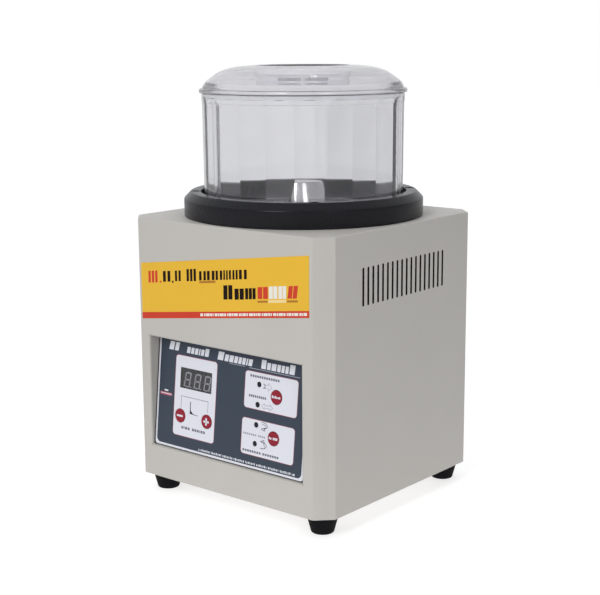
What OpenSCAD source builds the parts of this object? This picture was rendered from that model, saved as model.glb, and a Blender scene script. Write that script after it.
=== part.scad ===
// Benchtop magnetic tumbler: a sheet-metal cabinet with a sloped keypad, a motor
// that spins a magnet disc, and a clear lift-off bowl and lid in a black tray.
// Origin: middle of the footprint, on the ground. Front faces -Y. Up is +Z.

/* [Cabinet] */
// Cabinet width, side to side
body_w = 225; // [215:1:250]
// Cabinet depth, front to back
body_d = 221; // [215:1:245]
// Cabinet height without the feet
body_h = 236; // [230:1:260]
// Width taken off each upright corner
corner_cut = 13.5; // [8:0.5:16]
// Sheet thickness of the cabinet
sheet_t = 1.5; // [1.2:0.1:2]
// Height of the rubber feet
foot_h = 17.4; // [12:0.1:22]
// Radius of a foot at its top
foot_r = 14.3; // [13:0.1:16]

/* [Vents] */
// Number of upright slots in each side
vent_count = 18; // [6:1:18]
// Distance from slot to slot
vent_pitch = 6.84; // [6:0.02:7]
// Length of a slot
vent_l = 32.4; // [20:0.1:36]
// Width of a slot
vent_w = 2.6; // [1.5:0.1:3]

/* [Control panel] */
// Width of the opening for the control plate
panel_w = 175.8; // [175:0.1:180]
// Height of the opening
panel_h = 100.7; // [100:0.1:104]
// Height of the opening above the cabinet's underside
panel_up = 29.6; // [28:0.1:34]
// Depth of the plate behind the face at its lower edge
panel_d0 = 1.66; // [1:0.01:3]
// Backward lean of the plate, degrees
panel_tilt = 5.86; // [4:0.01:7]
// Radius of a key
key_r = 6.1; // [5.5:0.1:6.5]
// Travel of a key
key_travel = 0.5; // [0.3:0.1:0.6]

/* [Tray and bowl] */
// Outer radius of the tray
tray_r = 107; // [106:0.1:109]
// Height of the tray
tray_h = 21.6; // [18:0.1:26]
// Outer radius of the bowl at its foot
bowl_r = 88.8; // [86:0.1:89]
// Height of the bowl
bowl_h = 105; // [90:1:130]
// Number of flats inside the bowl
bowl_facets = 22; // [16:1:32]
// Overall height of the lid above the bowl's rim
lid_h = 23.4; // [22:0.1:26]

/* [Drive] */
// Radius of the magnet disc
disc_r = 74; // [70:0.5:76]
// Number of magnets in the disc
magnet_count = 8; // [4:2:10]
// Radius of the motor case
motor_r = 46; // [44:0.5:50]
// Length of the motor case
motor_l = 107; // [100:1:110]
// Radius of the motor shaft
shaft_r = 5; // [4:0.1:5]

/* [Hidden] */
$fn = 96;
label_t = 0.3;
rear_proud = 5.66;
yc = -(rear_proud - label_t) / 2;
yf = yc - body_d / 2;
yr = yc + body_d / 2;
z0 = foot_h;
top_z = foot_h + body_h;
panel_z = z0 + panel_up;
flat_x = body_w / 2 - corner_cut;
facet_phase = 10.14;
lid_turn = -50.3;
foot_x = 91.7;
foot_y = [-88.2, 92.6];
tray_in = 91.5;
tray_floor = 3;
bowl_z = top_z + tray_floor;
rim_z = bowl_z + bowl_h;
floor_t = 2.2;
plate_l = panel_h / cos(panel_tilt) - 0.8;
plate_t = 2;
film_t = 0.4;
pcb_y = 11;
pcb_t = 1.6;
keys = [[-56.5, 30.9], [-24.2, 31], [54, 66.1], [53.3, 30.6]];
lamp_at = [[34.2, 73.9], [33.6, 56.4], [33.3, 38.9], [32.9, 22.5]];
disp = [-39.4, 65.5];
disp_w = 38;
disp_h = 18.5;
disp_face = [-39.4, 63.9];
digit_x = [-12.3, -0.25, 11.8];
plate_z = top_z - 43;
spacer_at = [[79.6, 59.7], [-79.6, 59.7], [-79.6, -59.7], [79.6, -59.7]];
tray_screw_r = 96.2;
case_z = plate_z - motor_l;
inlet_x = 48;
inlet_z = z0 + 24;
rocker_z = inlet_z + 57;
rear_t = 1.2;
rear_w = 150;
rear_h = 100;
rear_z = z0 + 10;
trafo_x = -58;
trafo_y = 52;
board_x = 46;
board_y = -18;
clear_run = 0.05;

c_case = [0.76, 0.75, 0.72];
c_black = [0.12, 0.12, 0.13];
c_rubber = [0.09, 0.09, 0.1];
c_steel = [0.72, 0.73, 0.75];
c_brass = [0.83, 0.66, 0.33];
c_navy = [0.24, 0.28, 0.34];
c_red = [0.62, 0.09, 0.15];
c_yellow = [0.93, 0.72, 0.2];
c_clear = [0.85, 0.86, 0.9, 0.35];
c_green = [0.1, 0.32, 0.2];
c_copper = [0.72, 0.42, 0.24];
c_alu = [0.78, 0.79, 0.8];
c_dark = [0.25, 0.25, 0.27];

// ---------- helpers ----------

module cut_rect(w, d, c) {
    polygon([
        [w / 2 - c, -d / 2], [w / 2, -d / 2 + c],
        [w / 2, d / 2 - c], [w / 2 - c, d / 2],
        [-w / 2 + c, d / 2], [-w / 2, d / 2 - c],
        [-w / 2, -d / 2 + c], [-w / 2 + c, -d / 2]
    ]);
}

module prism(w, d, c, h) {
    linear_extrude(height = h) cut_rect(w, d, c);
}

module at_panel() {
    translate([0, yf + panel_d0, panel_z + 0.4])
        rotate([-panel_tilt, 0, 0])
            children();
}

// A cylinder that points into the panel, from depth y0 to y1.
module into(x, z, y0, y1, r) {
    translate([x, y0, z])
        rotate([-90, 0, 0])
            cylinder(r = r, h = y1 - y0);
}

module slot_cut(y, z, s) {
    translate([s * body_w / 2 - 4, y - vent_w / 2, z - vent_l / 2 + vent_w / 2])
        cube([8, vent_w, vent_l - vent_w]);
    for (e = [-1, 1])
        translate([s * body_w / 2 - 4, y, z + e * (vent_l - vent_w) / 2])
            rotate([0, 90, 0])
                cylinder(r = vent_w / 2, h = 8, $fn = 24);
}

module ring(r1, r2, h) {
    difference() {
        cylinder(r = r2, h = h);
        translate([0, 0, -1]) cylinder(r = r1, h = h + 2);
    }
}

module pan_screw(r, l, hr, hh) {
    difference() {
        union() {
            translate([0, 0, -l]) cylinder(r = r, h = l, $fn = 32);
            cylinder(r = hr, h = hh, $fn = 40);
        }
        for (a = [0, 90])
            translate([0, 0, hh])
                rotate([0, 0, a])
                    cube([hr * 1.1, hr * 0.24, hh], center = true);
    }
}

module box(p, s) {
    translate(p) cube(s);
}

// ---------- cabinet ----------

module housing() {
    color(c_case)
    difference() {
        translate([0, yc, z0]) prism(body_w, body_d, corner_cut, body_h);
        translate([0, yc, z0 + 3])
            prism(body_w - 2 * sheet_t, body_d - 2 * sheet_t, corner_cut - 0.6, body_h - 3 - sheet_t);
        translate([0, yc, z0 - 1])
            prism(body_w - 2 * sheet_t, body_d - 2 * sheet_t, corner_cut - 0.6, 2.5);
        translate([0, yc, z0 - 1])
            prism(body_w - 27, body_d - 27, corner_cut - 6, 6);
        translate([0, yc, top_z - 3]) cylinder(r = 80, h = 6);
        box([-panel_w / 2, yf - 1, panel_z], [panel_w, 6, panel_h]);
        box([-rear_w / 2 + 8, yr - 5, rear_z + 8], [rear_w - 16, 10, rear_h - 16]);
        for (s = [-1, 1])
            for (i = [0 : vent_count - 1])
                slot_cut(yc - 60.1 + i * vent_pitch, top_z - 45.8, s);
        for (a = [45 : 90 : 315])
            translate([tray_screw_r * cos(a), yc + tray_screw_r * sin(a), top_z - 3])
                cylinder(r = 2.2, h = 6, $fn = 32);
        for (p = spacer_at)
            translate([p[0], yc + p[1], top_z - 3]) cylinder(r = 2.7, h = 6, $fn = 32);
        for (p = base_screw_at())
            translate([p[0], p[1], z0 - 1]) cylinder(r = 1.8, h = 6, $fn = 24);
        for (sx = [-1, 1]) for (fy = foot_y)
            translate([sx * foot_x, yc + fy, z0 - 1]) cylinder(r = 5.4, h = 6);
        for (p = rear_screw_at())
            translate([p[0], yr - 5, p[1]]) rotate([-90, 0, 0]) cylinder(r = 1.7, h = 10, $fn = 24);
    }
}

function base_screw_at() = [
    for (s = [-1, 1]) for (y = [-60, 0, 60]) [s * (body_w / 2 - 8), yc + y]
];

function rear_screw_at() = [
    for (s = [-1, 1]) for (z = [rear_z + 4, rear_z + rear_h - 4]) [s * (rear_w / 2 - 4), z]
];

module base_plate() {
    color(c_case)
    difference() {
        translate([0, yc, z0]) prism(body_w - 2 * sheet_t - 1, body_d - 2 * sheet_t - 1, corner_cut - 1, sheet_t);
        for (sx = [-1, 1]) for (fy = foot_y)
            translate([sx * foot_x, yc + fy, z0 - 1]) cylinder(r = 2.7, h = 4, $fn = 32);
        for (p = base_screw_at())
            translate([p[0], p[1], z0 - 1]) cylinder(r = 1.8, h = 4, $fn = 24);
        for (sx = [-1, 1]) for (i = [0 : 8])
            box([sx * 24 - 15, yc - 28 + i * 7, z0 - 1], [30, 2.5, 4]);
    }
}

module base_screws() {
    color(c_steel)
    for (p = base_screw_at())
        translate([p[0], p[1], z0]) rotate([180, 0, 0]) pan_screw(1.7, 8, 3.4, 2);
}

module feet() {
    color(c_rubber)
    for (sx = [-1, 1]) for (fy = foot_y)
        translate([sx * foot_x, yc + fy, 0])
            rotate_extrude()
                polygon([
                    [2.7, 6], [5.6, 6], [5.6, 0], [9.2, 0], [10.1, 0.9],
                    [foot_r - 0.2, foot_h - 1.2], [foot_r - 0.9, foot_h], [2.7, foot_h]
                ]);
}

module foot_screws() {
    color(c_steel)
    for (sx = [-1, 1]) for (fy = foot_y)
        translate([sx * foot_x, yc + fy, 6]) {
            rotate([180, 0, 0]) pan_screw(2.5, foot_h + 0.6, 4.8, 3);
            translate([0, 0, foot_h - 6 + sheet_t])
                difference() {
                    cylinder(r = 4.6, h = 3.4, $fn = 6);
                    translate([0, 0, -1]) cylinder(r = 2.5, h = 6, $fn = 32);
                }
        }
}

module rear_panel() {
    color(c_case)
    difference() {
        box([-rear_w / 2, yr, rear_z], [rear_w, rear_t, rear_h]);
        box([inlet_x - 14, yr - 1, inlet_z - 5], [28, 4, 82]);
        for (p = rear_screw_at())
            translate([p[0], yr - 1, p[1]]) rotate([-90, 0, 0]) cylinder(r = 1.7, h = 4, $fn = 24);
        for (i = [0 : 11])
            box([-58 + i * 7.5, yr - 1, rear_z + 30], [2.5, 4, 45]);
    }
}

module rear_screws() {
    color(c_steel)
    for (p = rear_screw_at())
        translate([p[0], yr + rear_t, p[1]]) rotate([-90, 0, 0]) pan_screw(1.6, 7, 3.2, 1.9);
}

module label() {
    x = 96.5;
    color(c_yellow)
    translate([0, yf, top_z])
        rotate([90, 0, 0])
            linear_extrude(height = label_t)
                polygon([[-x, -40.5], [x, -14.6], [x, -65.1], [-x, -91.0]]);
}

// ---------- control panel ----------

module recess_frame() {
    color(c_case)
    translate([0, yf + sheet_t, panel_z])
        difference() {
            box([-panel_w / 2 - 1.2, 0, -1.2], [panel_w + 2.4, 20, panel_h + 2.4]);
            box([-panel_w / 2, -1, 0], [panel_w, 22, panel_h]);
        }
}

module recess_rails() {
    color(c_case)
    at_panel()
        for (s = [-1, 1])
            box([s * (panel_w / 2 - 4) - 4, plate_t, 6], [8, 3, plate_l - 14]);
}

module control_plate() {
    color(c_case)
    at_panel()
        difference() {
            box([-panel_w / 2 + 0.3, 0, 0], [panel_w - 0.6, plate_t, plate_l]);
            for (k = keys) into(k[0], k[1], -1, 4, key_r + 0.3);
            for (l = lamp_at) into(l[0], l[1], -1, 4, 2.45);
            box([disp[0] - 19.2, -1, disp[1] - 9.8], [38.4, 5, 19.6]);
        }
}

module overlay() {
    color(c_navy)
    at_panel()
        difference() {
            box([-panel_w / 2 + 0.8, -film_t, 0.6], [panel_w - 1.6, film_t, plate_l - 1.2]);
            for (k = keys) into(k[0], k[1], -1, 4, key_r + 0.3);
            for (l = lamp_at) into(l[0], l[1], -1, 4, 2.45);
            box([disp[0] - disp_w / 2, -1, disp[1] - disp_h / 2], [disp_w, 3, disp_h]);
        }
}

module display_window() {
    color([0.2, 0.2, 0.22, 0.5])
    at_panel()
        box([disp[0] - disp_w / 2 + 0.1, -film_t, disp[1] - disp_h / 2 + 0.1], [disp_w - 0.2, 0.4, disp_h - 0.2]);
}

module display_block() {
    color(c_dark)
    at_panel() {
        box([disp_face[0] - 18.8, 2.1, disp_face[1] - 9.5], [37.6, 7, 19]);
        for (s = [-1, 1]) for (i = [0 : 5])
            into(disp_face[0] - 13 + i * 5.2, disp_face[1] + s * 7.5, 8.5, 14, 0.3);
    }
}

// One bar of a figure, leaning like the figure does.
module bar(x0, z0, x1, z1) {
    k = 0.14;
    rotate([90, 0, 0])
        linear_extrude(height = 0.15)
            polygon([[x0 + k * z0, z0], [x1 + k * z0, z0], [x1 + k * z1, z1], [x0 + k * z1, z1]]);
}

// One seven-segment figure with slightly parted bars.
module figure8() {
    w = 3.7;
    h = 7;
    t = 1.35;
    for (z = [-h, -t / 2, h - t])
        bar(0.25 + t - w, z, w - t - 0.25, z + t);
    for (x = [-w, w - t]) for (z = [-h + 0.5, 0.3])
        bar(x, z, x + t, z + h - 0.8);
    bar(w + 0.5, -h, w + 0.5 + t, t - h);
}

module digits() {
    color([0.6, 0.6, 0.62])
    at_panel()
        for (x = digit_x)
            translate([disp_face[0] + x, 2.1, disp_face[1]]) figure8();
}

module lamps() {
    color(c_black)
    at_panel()
        for (l = lamp_at) {
            into(l[0], l[1], -0.2, 7, 2.25);
            into(l[0], l[1], 7, 8, 2.8);
            for (s = [-1, 1]) into(l[0] + s * 1.27, l[1], 8, 13.5, 0.25);
        }
}

module key(k) {
    color(c_red)
    at_panel() {
        into(k[0], k[1], -1.1, 2.3, key_r);
        into(k[0], k[1], 2.3, 3.3, key_r + 1.1);
        into(k[0], k[1], 3.3, 7.9, 1.6);
    }
}

module key_minus() { key(keys[0]); }
module key_plus() { key(keys[1]); }
module key_select() { key(keys[2]); }
module key_run() { key(keys[3]); }

module key_switches() {
    color(c_dark)
    at_panel()
        for (k = keys)
            difference() {
                union() {
                    box([k[0] - 3.1, 7.4, k[1] - 3.1], [6.2, pcb_y - 7.4, 6.2]);
                    for (s = [-1, 1]) for (e = [-1, 1])
                        box([k[0] + s * 3.3 - 0.4, pcb_y - 1.6, k[1] + e * 2.2 - 0.4], [0.8, 1.6, 0.8]);
                }
                into(k[0], k[1], 6, 9, 1.9);
            }
}

module control_board() {
    color(c_green)
    at_panel()
        difference() {
            box([-70, pcb_y, 12], [140, pcb_t, 74]);
            for (s = [-1, 1]) for (z = [16, 82]) into(s * 66, z, pcb_y - 1, pcb_y + 3, 1.7);
            for (s = [-1, 1]) for (i = [0 : 5])
                into(disp_face[0] - 13 + i * 5.2, disp_face[1] + s * 7.5, pcb_y - 1, pcb_y + 3, 0.45);
            for (l = lamp_at) for (s = [-1, 1]) into(l[0] + s * 1.27, l[1], pcb_y - 1, pcb_y + 3, 0.4);
        }
}

module board_spacers() {
    color(c_brass)
    at_panel()
        for (s = [-1, 1]) for (z = [16, 82])
            difference() {
                into(s * 66, z, plate_t, pcb_y, 3);
                into(s * 66, z, pcb_y - 6, pcb_y + 1, 1.55);
            }
}

module board_screws() {
    color(c_steel)
    at_panel()
        for (s = [-1, 1]) for (z = [16, 82])
            translate([s * 66, pcb_y + pcb_t, z]) rotate([-90, 0, 0]) pan_screw(1.45, 6, 2.8, 1.8);
}

module board_parts() {
    color(c_black)
    at_panel() {
        y = pcb_y + pcb_t;
        box([-12, y, 40], [24, 3.2, 9]);
        box([18, y, 62], [10, 2.4, 7]);
        box([-62, y, 24], [16, 9, 12]);
        box([-40, y, 24], [16, 9, 12]);
        into(10, 22, y, y + 8.5, 6);
        into(58, 50, y, y + 11, 4);
        box([30, y, 14], [22, 8, 6]);
    }
}

// ---------- tray, bowl, lid ----------

module tray() {
    color(c_black)
    translate([0, yc, top_z])
        difference() {
            rotate_extrude($fn = 180)
                polygon([
                    [0, 0], [tray_r, 0], [tray_r, tray_h - 6.2], [tray_r - 6.2, tray_h],
                    [tray_in + 0.6, tray_h], [tray_in, tray_h - 0.6], [tray_in, tray_floor], [0, tray_floor]
                ]);
            difference() {
                translate([0, 0, -1]) ring(tray_in + 2.3, tray_r - 2.2, tray_h - 4.7);
                for (a = [45 : 90 : 315])
                    translate([tray_screw_r * cos(a), tray_screw_r * sin(a), -2]) cylinder(r = 5.4, h = tray_h);
            }
            for (a = [45 : 90 : 315])
                translate([tray_screw_r * cos(a), tray_screw_r * sin(a), 0]) {
                    translate([0, 0, -1]) cylinder(r = 2.2, h = tray_h + 2, $fn = 32);
                    translate([0, 0, 9]) cylinder(r = 3.7, h = tray_h, $fn = 48);
                }
        }
}

module tray_screws() {
    color(c_dark)
    for (a = [45 : 90 : 315])
        translate([tray_screw_r * cos(a), yc + tray_screw_r * sin(a), top_z + 9]) {
            difference() {
                union() {
                    cylinder(r = 3.4, h = 4, $fn = 48);
                    translate([0, 0, -15]) cylinder(r = 1.95, h = 15, $fn = 32);
                }
                translate([0, 0, 2]) cylinder(r = 1.7, h = 4, $fn = 6);
            }
            translate([0, 0, -9 - sheet_t - 3.2])
                difference() {
                    cylinder(r = 4, h = 3.2, $fn = 6);
                    translate([0, 0, -1]) cylinder(r = 1.95, h = 6, $fn = 32);
                }
        }
}

module bowl() {
    color(c_clear)
    translate([0, yc, bowl_z])
        difference() {
            rotate_extrude($fn = 180)
                polygon([
                    [0, 0], [bowl_r - 3.2, 0], [bowl_r - 1.2, 0.8], [bowl_r - 0.2, 3],
                    [bowl_r + 0.6, bowl_h - 8.5], [bowl_r + 1, bowl_h - 7.6], [bowl_r + 1, bowl_h - 0.6],
                    [bowl_r + 0.4, bowl_h], [0, bowl_h]
                ]);
            translate([0, 0, floor_t])
                linear_extrude(height = bowl_h)
                    polygon([
                        for (i = [0 : bowl_facets - 1])
                            let (a = facet_phase + i * 360 / bowl_facets)
                                [(bowl_r - 1.8) * cos(a), (bowl_r - 1.8) * sin(a)]
                    ]);
            translate([0, 0, bowl_h - 10]) cylinder(r = bowl_r - 2, h = 12, $fn = 180);
        }
}

module bowl_post() {
    color(c_steel)
    translate([0, yc, bowl_z + floor_t])
        rotate_extrude()
            polygon([[0, 0], [18, 0], [18, 1.2], [12.3, 23.7], [11.4, 24.5], [0, 24.5]]);
}

module lid() {
    r = bowl_r + 1;
    color(c_clear)
    translate([0, yc, rim_z]) {
        rotate_extrude($fn = 180)
            polygon([
                [0, 3.8], [38.6, 3.8], [39.9, 5], [42.5, 19.2],
                [43.8, lid_h - 2.2], [52, lid_h - 2.6], [62, lid_h - 4.2], [71, lid_h - 7],
                [78, lid_h - 11], [83.4, 7.6], [84.6, 4], [84.6, -4], [r - 3.4, -4],
                [r - 3.4, 0], [r + 1.5, 0], [r + 2.3, 0.8], [r + 2.3, 2.8], [r + 1.5, 3.6],
                [r - 0.6, 4.2], [r - 3.1, 8.7], [r - 6, 11.4], [80.2, 13.9], [76.4, 16.7], [72.4, 18.9],
                [66, 20.9], [58, 22.3], [50, 23.1], [43.6, lid_h], [42.2, lid_h - 0.3], [41.4, lid_h - 1.4],
                [38.6, 7.4], [37.4, 6], [0, 6]
            ]);
        rotate([0, 0, lid_turn])
            difference() {
                box([-4.5, -23.4, 5.9], [9, 46.8, 10.3]);
                for (s = [-1, 1])
                    translate([-6, s * 23.4, 6]) rotate([s * 8, 0, 0]) translate([0, s * 4 - 4, -2]) cube([12, 8, 14]);
            }
    }
}

// ---------- motor and its mount ----------

module motor_plate() {
    color(c_steel)
    translate([0, yc, plate_z])
        difference() {
            box([-88, -68, 0], [176, 136, 3]);
            translate([0, 0, -1]) cylinder(r = 15, h = 5);
            for (p = spacer_at) translate([p[0], p[1], -1]) cylinder(r = 2.7, h = 5, $fn = 32);
            for (a = [0 : 90 : 270])
                rotate([0, 0, a]) translate([30, 0, -1]) cylinder(r = 2.2, h = 5, $fn = 32);
        }
}

module plate_spacers() {
    color(c_alu)
    for (p = spacer_at)
        translate([p[0], yc + p[1], plate_z + 3])
            ring(2.7, 5, top_z - sheet_t - plate_z - 3, $fn = 40);
}

module spacer_screws() {
    color(c_steel)
    for (p = spacer_at)
        translate([p[0], yc + p[1], top_z]) {
            pan_screw(2.5, 50, 4, 2.6);
            translate([0, 0, -43 - 4])
                difference() {
                    cylinder(r = 4.6, h = 4, $fn = 6);
                    translate([0, 0, -1]) cylinder(r = 2.5, h = 6, $fn = 32);
                }
        }
}

module motor_screws() {
    color(c_steel)
    translate([0, yc, plate_z + 3])
        for (a = [0 : 90 : 270])
            rotate([0, 0, a]) translate([30, 0, 0]) pan_screw(1.95, 11, 3.5, 2.4);
}

module motor_case() {
    color(c_dark)
    translate([0, yc, case_z + 10])
        difference() {
            ring(motor_r - 2.5, motor_r, motor_l - 20);
            for (a = [0 : 60 : 300])
                rotate([0, 0, a + 15]) translate([motor_r - 5, -7, 6]) cube([10, 14, 12]);
        }
}

module motor_caps() {
    color(c_alu)
    translate([0, yc, case_z]) {
        difference() {
            cylinder(r = motor_r, h = 10);
            translate([0, 0, -1]) cylinder(r = 8, h = 12);
            translate([0, 0, 2]) cylinder(r = 13.05, h = 9);
            for (a = [0 : 45 : 315]) rotate([0, 0, a]) translate([29, 0, -1]) cylinder(r = 5, h = 12, $fn = 40);
        }
        translate([0, 0, motor_l - 10])
            difference() {
                cylinder(r = motor_r, h = 10);
                translate([0, 0, -1]) cylinder(r = 8, h = 12);
                translate([0, 0, -1]) cylinder(r = 13.05, h = 9);
                for (a = [0 : 90 : 270]) rotate([0, 0, a]) translate([30, 0, 1]) cylinder(r = 2, h = 12, $fn = 32);
            }
    }
}

module bearings() {
    color(c_steel)
    translate([0, yc, case_z])
        for (z = [2, motor_l - 10])
            translate([0, 0, z])
                difference() {
                    ring(shaft_r + clear_run, 13, 8);
                    for (e = [-0.5, 7.5]) translate([0, 0, e]) ring(7.4, 10.6, 1);
                }
}

module field_magnets() {
    color(c_black)
    translate([0, yc, case_z + 32])
        difference() {
            ring(40, motor_r - 2.55, 52);
            for (a = [0, 180]) rotate([0, 0, a]) translate([0, -12, -1]) cube([60, 24, 54]);
        }
}

module brushes() {
    color(c_brass)
    translate([0, yc, case_z + 18])
        for (a = [0, 180])
            rotate([0, 0, a]) {
                difference() {
                    box([17, -5, -4], [26, 10, 10]);
                    box([16, -3.5, -2.5], [20, 7, 7]);
                }
                box([14.3, -3.4, -2.4], [14, 6.8, 6.8]);
            }
}

// ---------- rotor ----------

module shaft() {
    color(c_steel)
    translate([0, yc, case_z - 22]) cylinder(r = shaft_r, h = motor_l + 22 + 30);
}

module armature() {
    color(c_dark)
    translate([0, yc, case_z + 36])
        difference() {
            ring(shaft_r + 0.02, 39.2, 44);
            for (a = [0 : 30 : 330])
                rotate([0, 0, a]) {
                    translate([30, 0, -1]) cylinder(r = 5, h = 46, $fn = 40);
                    translate([32, -1.2, -1]) cube([10, 2.4, 46]);
                }
        }
}

module windings() {
    color(c_copper)
    translate([0, yc, case_z + 36]) {
        for (a = [0 : 30 : 330])
            rotate([0, 0, a]) translate([30, 0, -2]) cylinder(r = 4.6, h = 48, $fn = 40);
        translate([0, 0, -6]) ring(9, 34.5, 4.5);
        translate([0, 0, 45.5]) ring(9, 34.5, 4.5);
    }
}

module commutator() {
    color(c_copper)
    translate([0, yc, case_z + 12.5])
        difference() {
            ring(shaft_r + 0.02, 14, 14);
            for (a = [0 : 15 : 345])
                rotate([0, 0, a]) translate([12.6, -0.35, -1]) cube([3, 0.7, 16]);
        }
}

module fan() {
    color(c_black)
    translate([0, yc, case_z - 20]) {
        ring(shaft_r + 0.02, 11, 14);
        translate([0, 0, 12.5]) ring(10.5, 40, 1.5);
        for (a = [0 : 40 : 320])
            rotate([0, 0, a]) box([10.5, -0.8, 0], [29, 1.6, 12.6]);
    }
}

module hub() {
    color(c_alu)
    translate([0, yc, top_z - 26])
        difference() {
            union() {
                cylinder(r = 14, h = 10);
                translate([0, 0, 10]) cylinder(r = 24, h = 4);
            }
            translate([0, 0, -1]) cylinder(r = shaft_r + 0.02, h = 16);
            for (a = [0 : 90 : 270])
                rotate([0, 0, a]) translate([19, 0, 9]) cylinder(r = 1.7, h = 8, $fn = 24);
            translate([0, 0, 5]) rotate([0, 90, 0]) cylinder(r = 2, h = 20, $fn = 24);
        }
}

module hub_screws() {
    color(c_steel)
    translate([0, yc, top_z - 2]) {
        for (a = [0 : 90 : 270])
            rotate([0, 0, a]) translate([19, 0, -2.4]) pan_screw(1.6, 10, 3, 2.2);
        translate([5.2, 0, -19]) rotate([0, 90, 0]) cylinder(r = 1.9, h = 7, $fn = 24);
    }
}

module magnet_disc() {
    color(c_alu)
    translate([0, yc, top_z - 12])
        difference() {
            cylinder(r = disc_r, h = 10);
            translate([0, 0, -1]) cylinder(r = shaft_r + 1, h = 12);
            for (i = [0 : magnet_count - 1])
                rotate([0, 0, i * 360 / magnet_count]) translate([56, 0, 3]) cylinder(r = 10.4, h = 8);
            for (a = [0 : 90 : 270])
                rotate([0, 0, a]) translate([19, 0, -1]) {
                    cylinder(r = 1.8, h = 12, $fn = 24);
                    translate([0, 0, 8.6]) cylinder(r = 3.3, h = 6, $fn = 32);
                }
        }
}

module magnets() {
    color(c_steel)
    translate([0, yc, top_z - 12])
        for (i = [0 : magnet_count - 1])
            rotate([0, 0, i * 360 / magnet_count]) translate([56, 0, 3]) cylinder(r = 10.35, h = 6.6);
}

// ---------- power section ----------

module transformer_core() {
    color(c_dark)
    translate([trafo_x, yc + trafo_y, z0 + sheet_t])
        difference() {
            box([-30, -14, 0], [60, 28, 50]);
            for (s = [-1, 1]) box([s * 15 - 5, -15, 10], [10, 30, 30]);
        }
}

module transformer_coil() {
    color(c_copper)
    translate([trafo_x, yc + trafo_y, z0 + sheet_t])
        difference() {
            box([-19.7, -22, 10.3], [39.4, 44, 29.4]);
            box([-10.3, -14.3, 9], [20.6, 28.6, 32]);
        }
}

module power_board() {
    color(c_green)
    translate([board_x, yc + board_y, z0 + sheet_t + 8])
        difference() {
            box([-45, -40, 0], [90, 80, 1.6]);
            for (sx = [-1, 1]) for (sy = [-1, 1])
                translate([sx * 40, sy * 35, -1]) cylinder(r = 1.7, h = 4, $fn = 24);
        }
}

module power_spacers() {
    color(c_brass)
    translate([board_x, yc + board_y, z0 + sheet_t])
        for (sx = [-1, 1]) for (sy = [-1, 1])
            translate([sx * 40, sy * 35, 0]) {
                cylinder(r = 3, h = 8, $fn = 6);
                translate([0, 0, 8]) cylinder(r = 1.55, h = 1.6, $fn = 24);
                translate([0, 0, 9.6]) cylinder(r = 2.8, h = 1.8, $fn = 32);
            }
}

module power_parts() {
    color(c_black)
    translate([board_x, yc + board_y, z0 + sheet_t + 9.6]) {
        translate([-25, 18, 0]) cylinder(r = 9, h = 26);
        translate([-3, 18, 0]) cylinder(r = 9, h = 26);
        box([15, 6, 0], [16, 20, 16]);
        box([-38, -30, 0], [30, 8, 20]);
        box([5, -32, 0], [32, 10, 12]);
        for (i = [0 : 4]) box([-38 + i * 6.6, -19, 0], [2, 22, 24]);
        box([-38, -19, 0], [28.4, 22, 3]);
    }
}

module inlet_body() {
    color(c_black)
    translate([inlet_x, yr + rear_t, inlet_z])
        difference() {
            union() {
                box([-13.7, -28, -4.7], [27.4, 28, 81.4]);
                box([-16.5, 0, -8], [33, 2.5, 88]);
            }
            box([-12, -16, 3], [24, 20, 16.4]);
            box([-10.5, -20, 27.5], [21, 24, 13]);
            box([-10.5, -18, 46.5], [21, 22, 27]);
            translate([-20, -1.2, 60]) rotate([0, 90, 0]) cylinder(r = 1.5 + clear_run, h = 40, $fn = 32);
        }
}

module inlet_pins() {
    color(c_brass)
    translate([inlet_x, yr + rear_t, inlet_z]) {
        for (p = [[-7, 8.5], [7, 8.5], [0, 12.5]])
            box([p[0] - 1, -15.9, p[1]], [2, 13, 4]);
    }
}

module fuse_drawer() {
    color(c_dark)
    translate([inlet_x, yr + rear_t, inlet_z])
        difference() {
            union() {
                box([-10.2, -19, 27.8], [20.4, 19, 12.4]);
                box([-10.2, 0, 27.8], [20.4, 3.2, 12.4]);
            }
            box([-4, 1.2, 36], [8, 4, 5]);
        }
}

module rocker() {
    color(c_red)
    translate([inlet_x, yr + rear_t - 1.2, inlet_z + 60]) {
        rotate([0, 90, 0]) translate([0, 0, -13.2]) cylinder(r = 1.5, h = 26.4, $fn = 32);
        rotate([7, 0, 0])
            rotate([90, 0, 90])
                translate([0, 0, -10])
                    linear_extrude(height = 20)
                        polygon([
                            [2.9, 0], [4.3, 11.4], [3, 12], [-3, 11], [-9, 4.5],
                            [-9, -4.5], [-3, -11], [3, -12], [4.3, -11.4]
                        ]);
    }
}

// ---------- assembly ----------

housing();
base_plate();
base_screws();
feet();
foot_screws();
rear_panel();
rear_screws();
label();
recess_frame();
recess_rails();
control_plate();
overlay();
display_window();
display_block();
digits();
lamps();
key_minus();
key_plus();
key_select();
key_run();
key_switches();
control_board();
board_spacers();
board_screws();
board_parts();
tray();
tray_screws();
bowl();
bowl_post();
lid();
motor_plate();
plate_spacers();
spacer_screws();
motor_screws();
motor_case();
motor_caps();
bearings();
field_magnets();
brushes();
shaft();
armature();
windings();
commutator();
fan();
hub();
hub_screws();
magnet_disc();
magnets();
transformer_core();
transformer_coil();
power_board();
power_spacers();
power_parts();
inlet_body();
inlet_pins();
fuse_drawer();
rocker();
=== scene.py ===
import math

import bmesh
import bpy
from mathutils import Matrix, Vector

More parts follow.
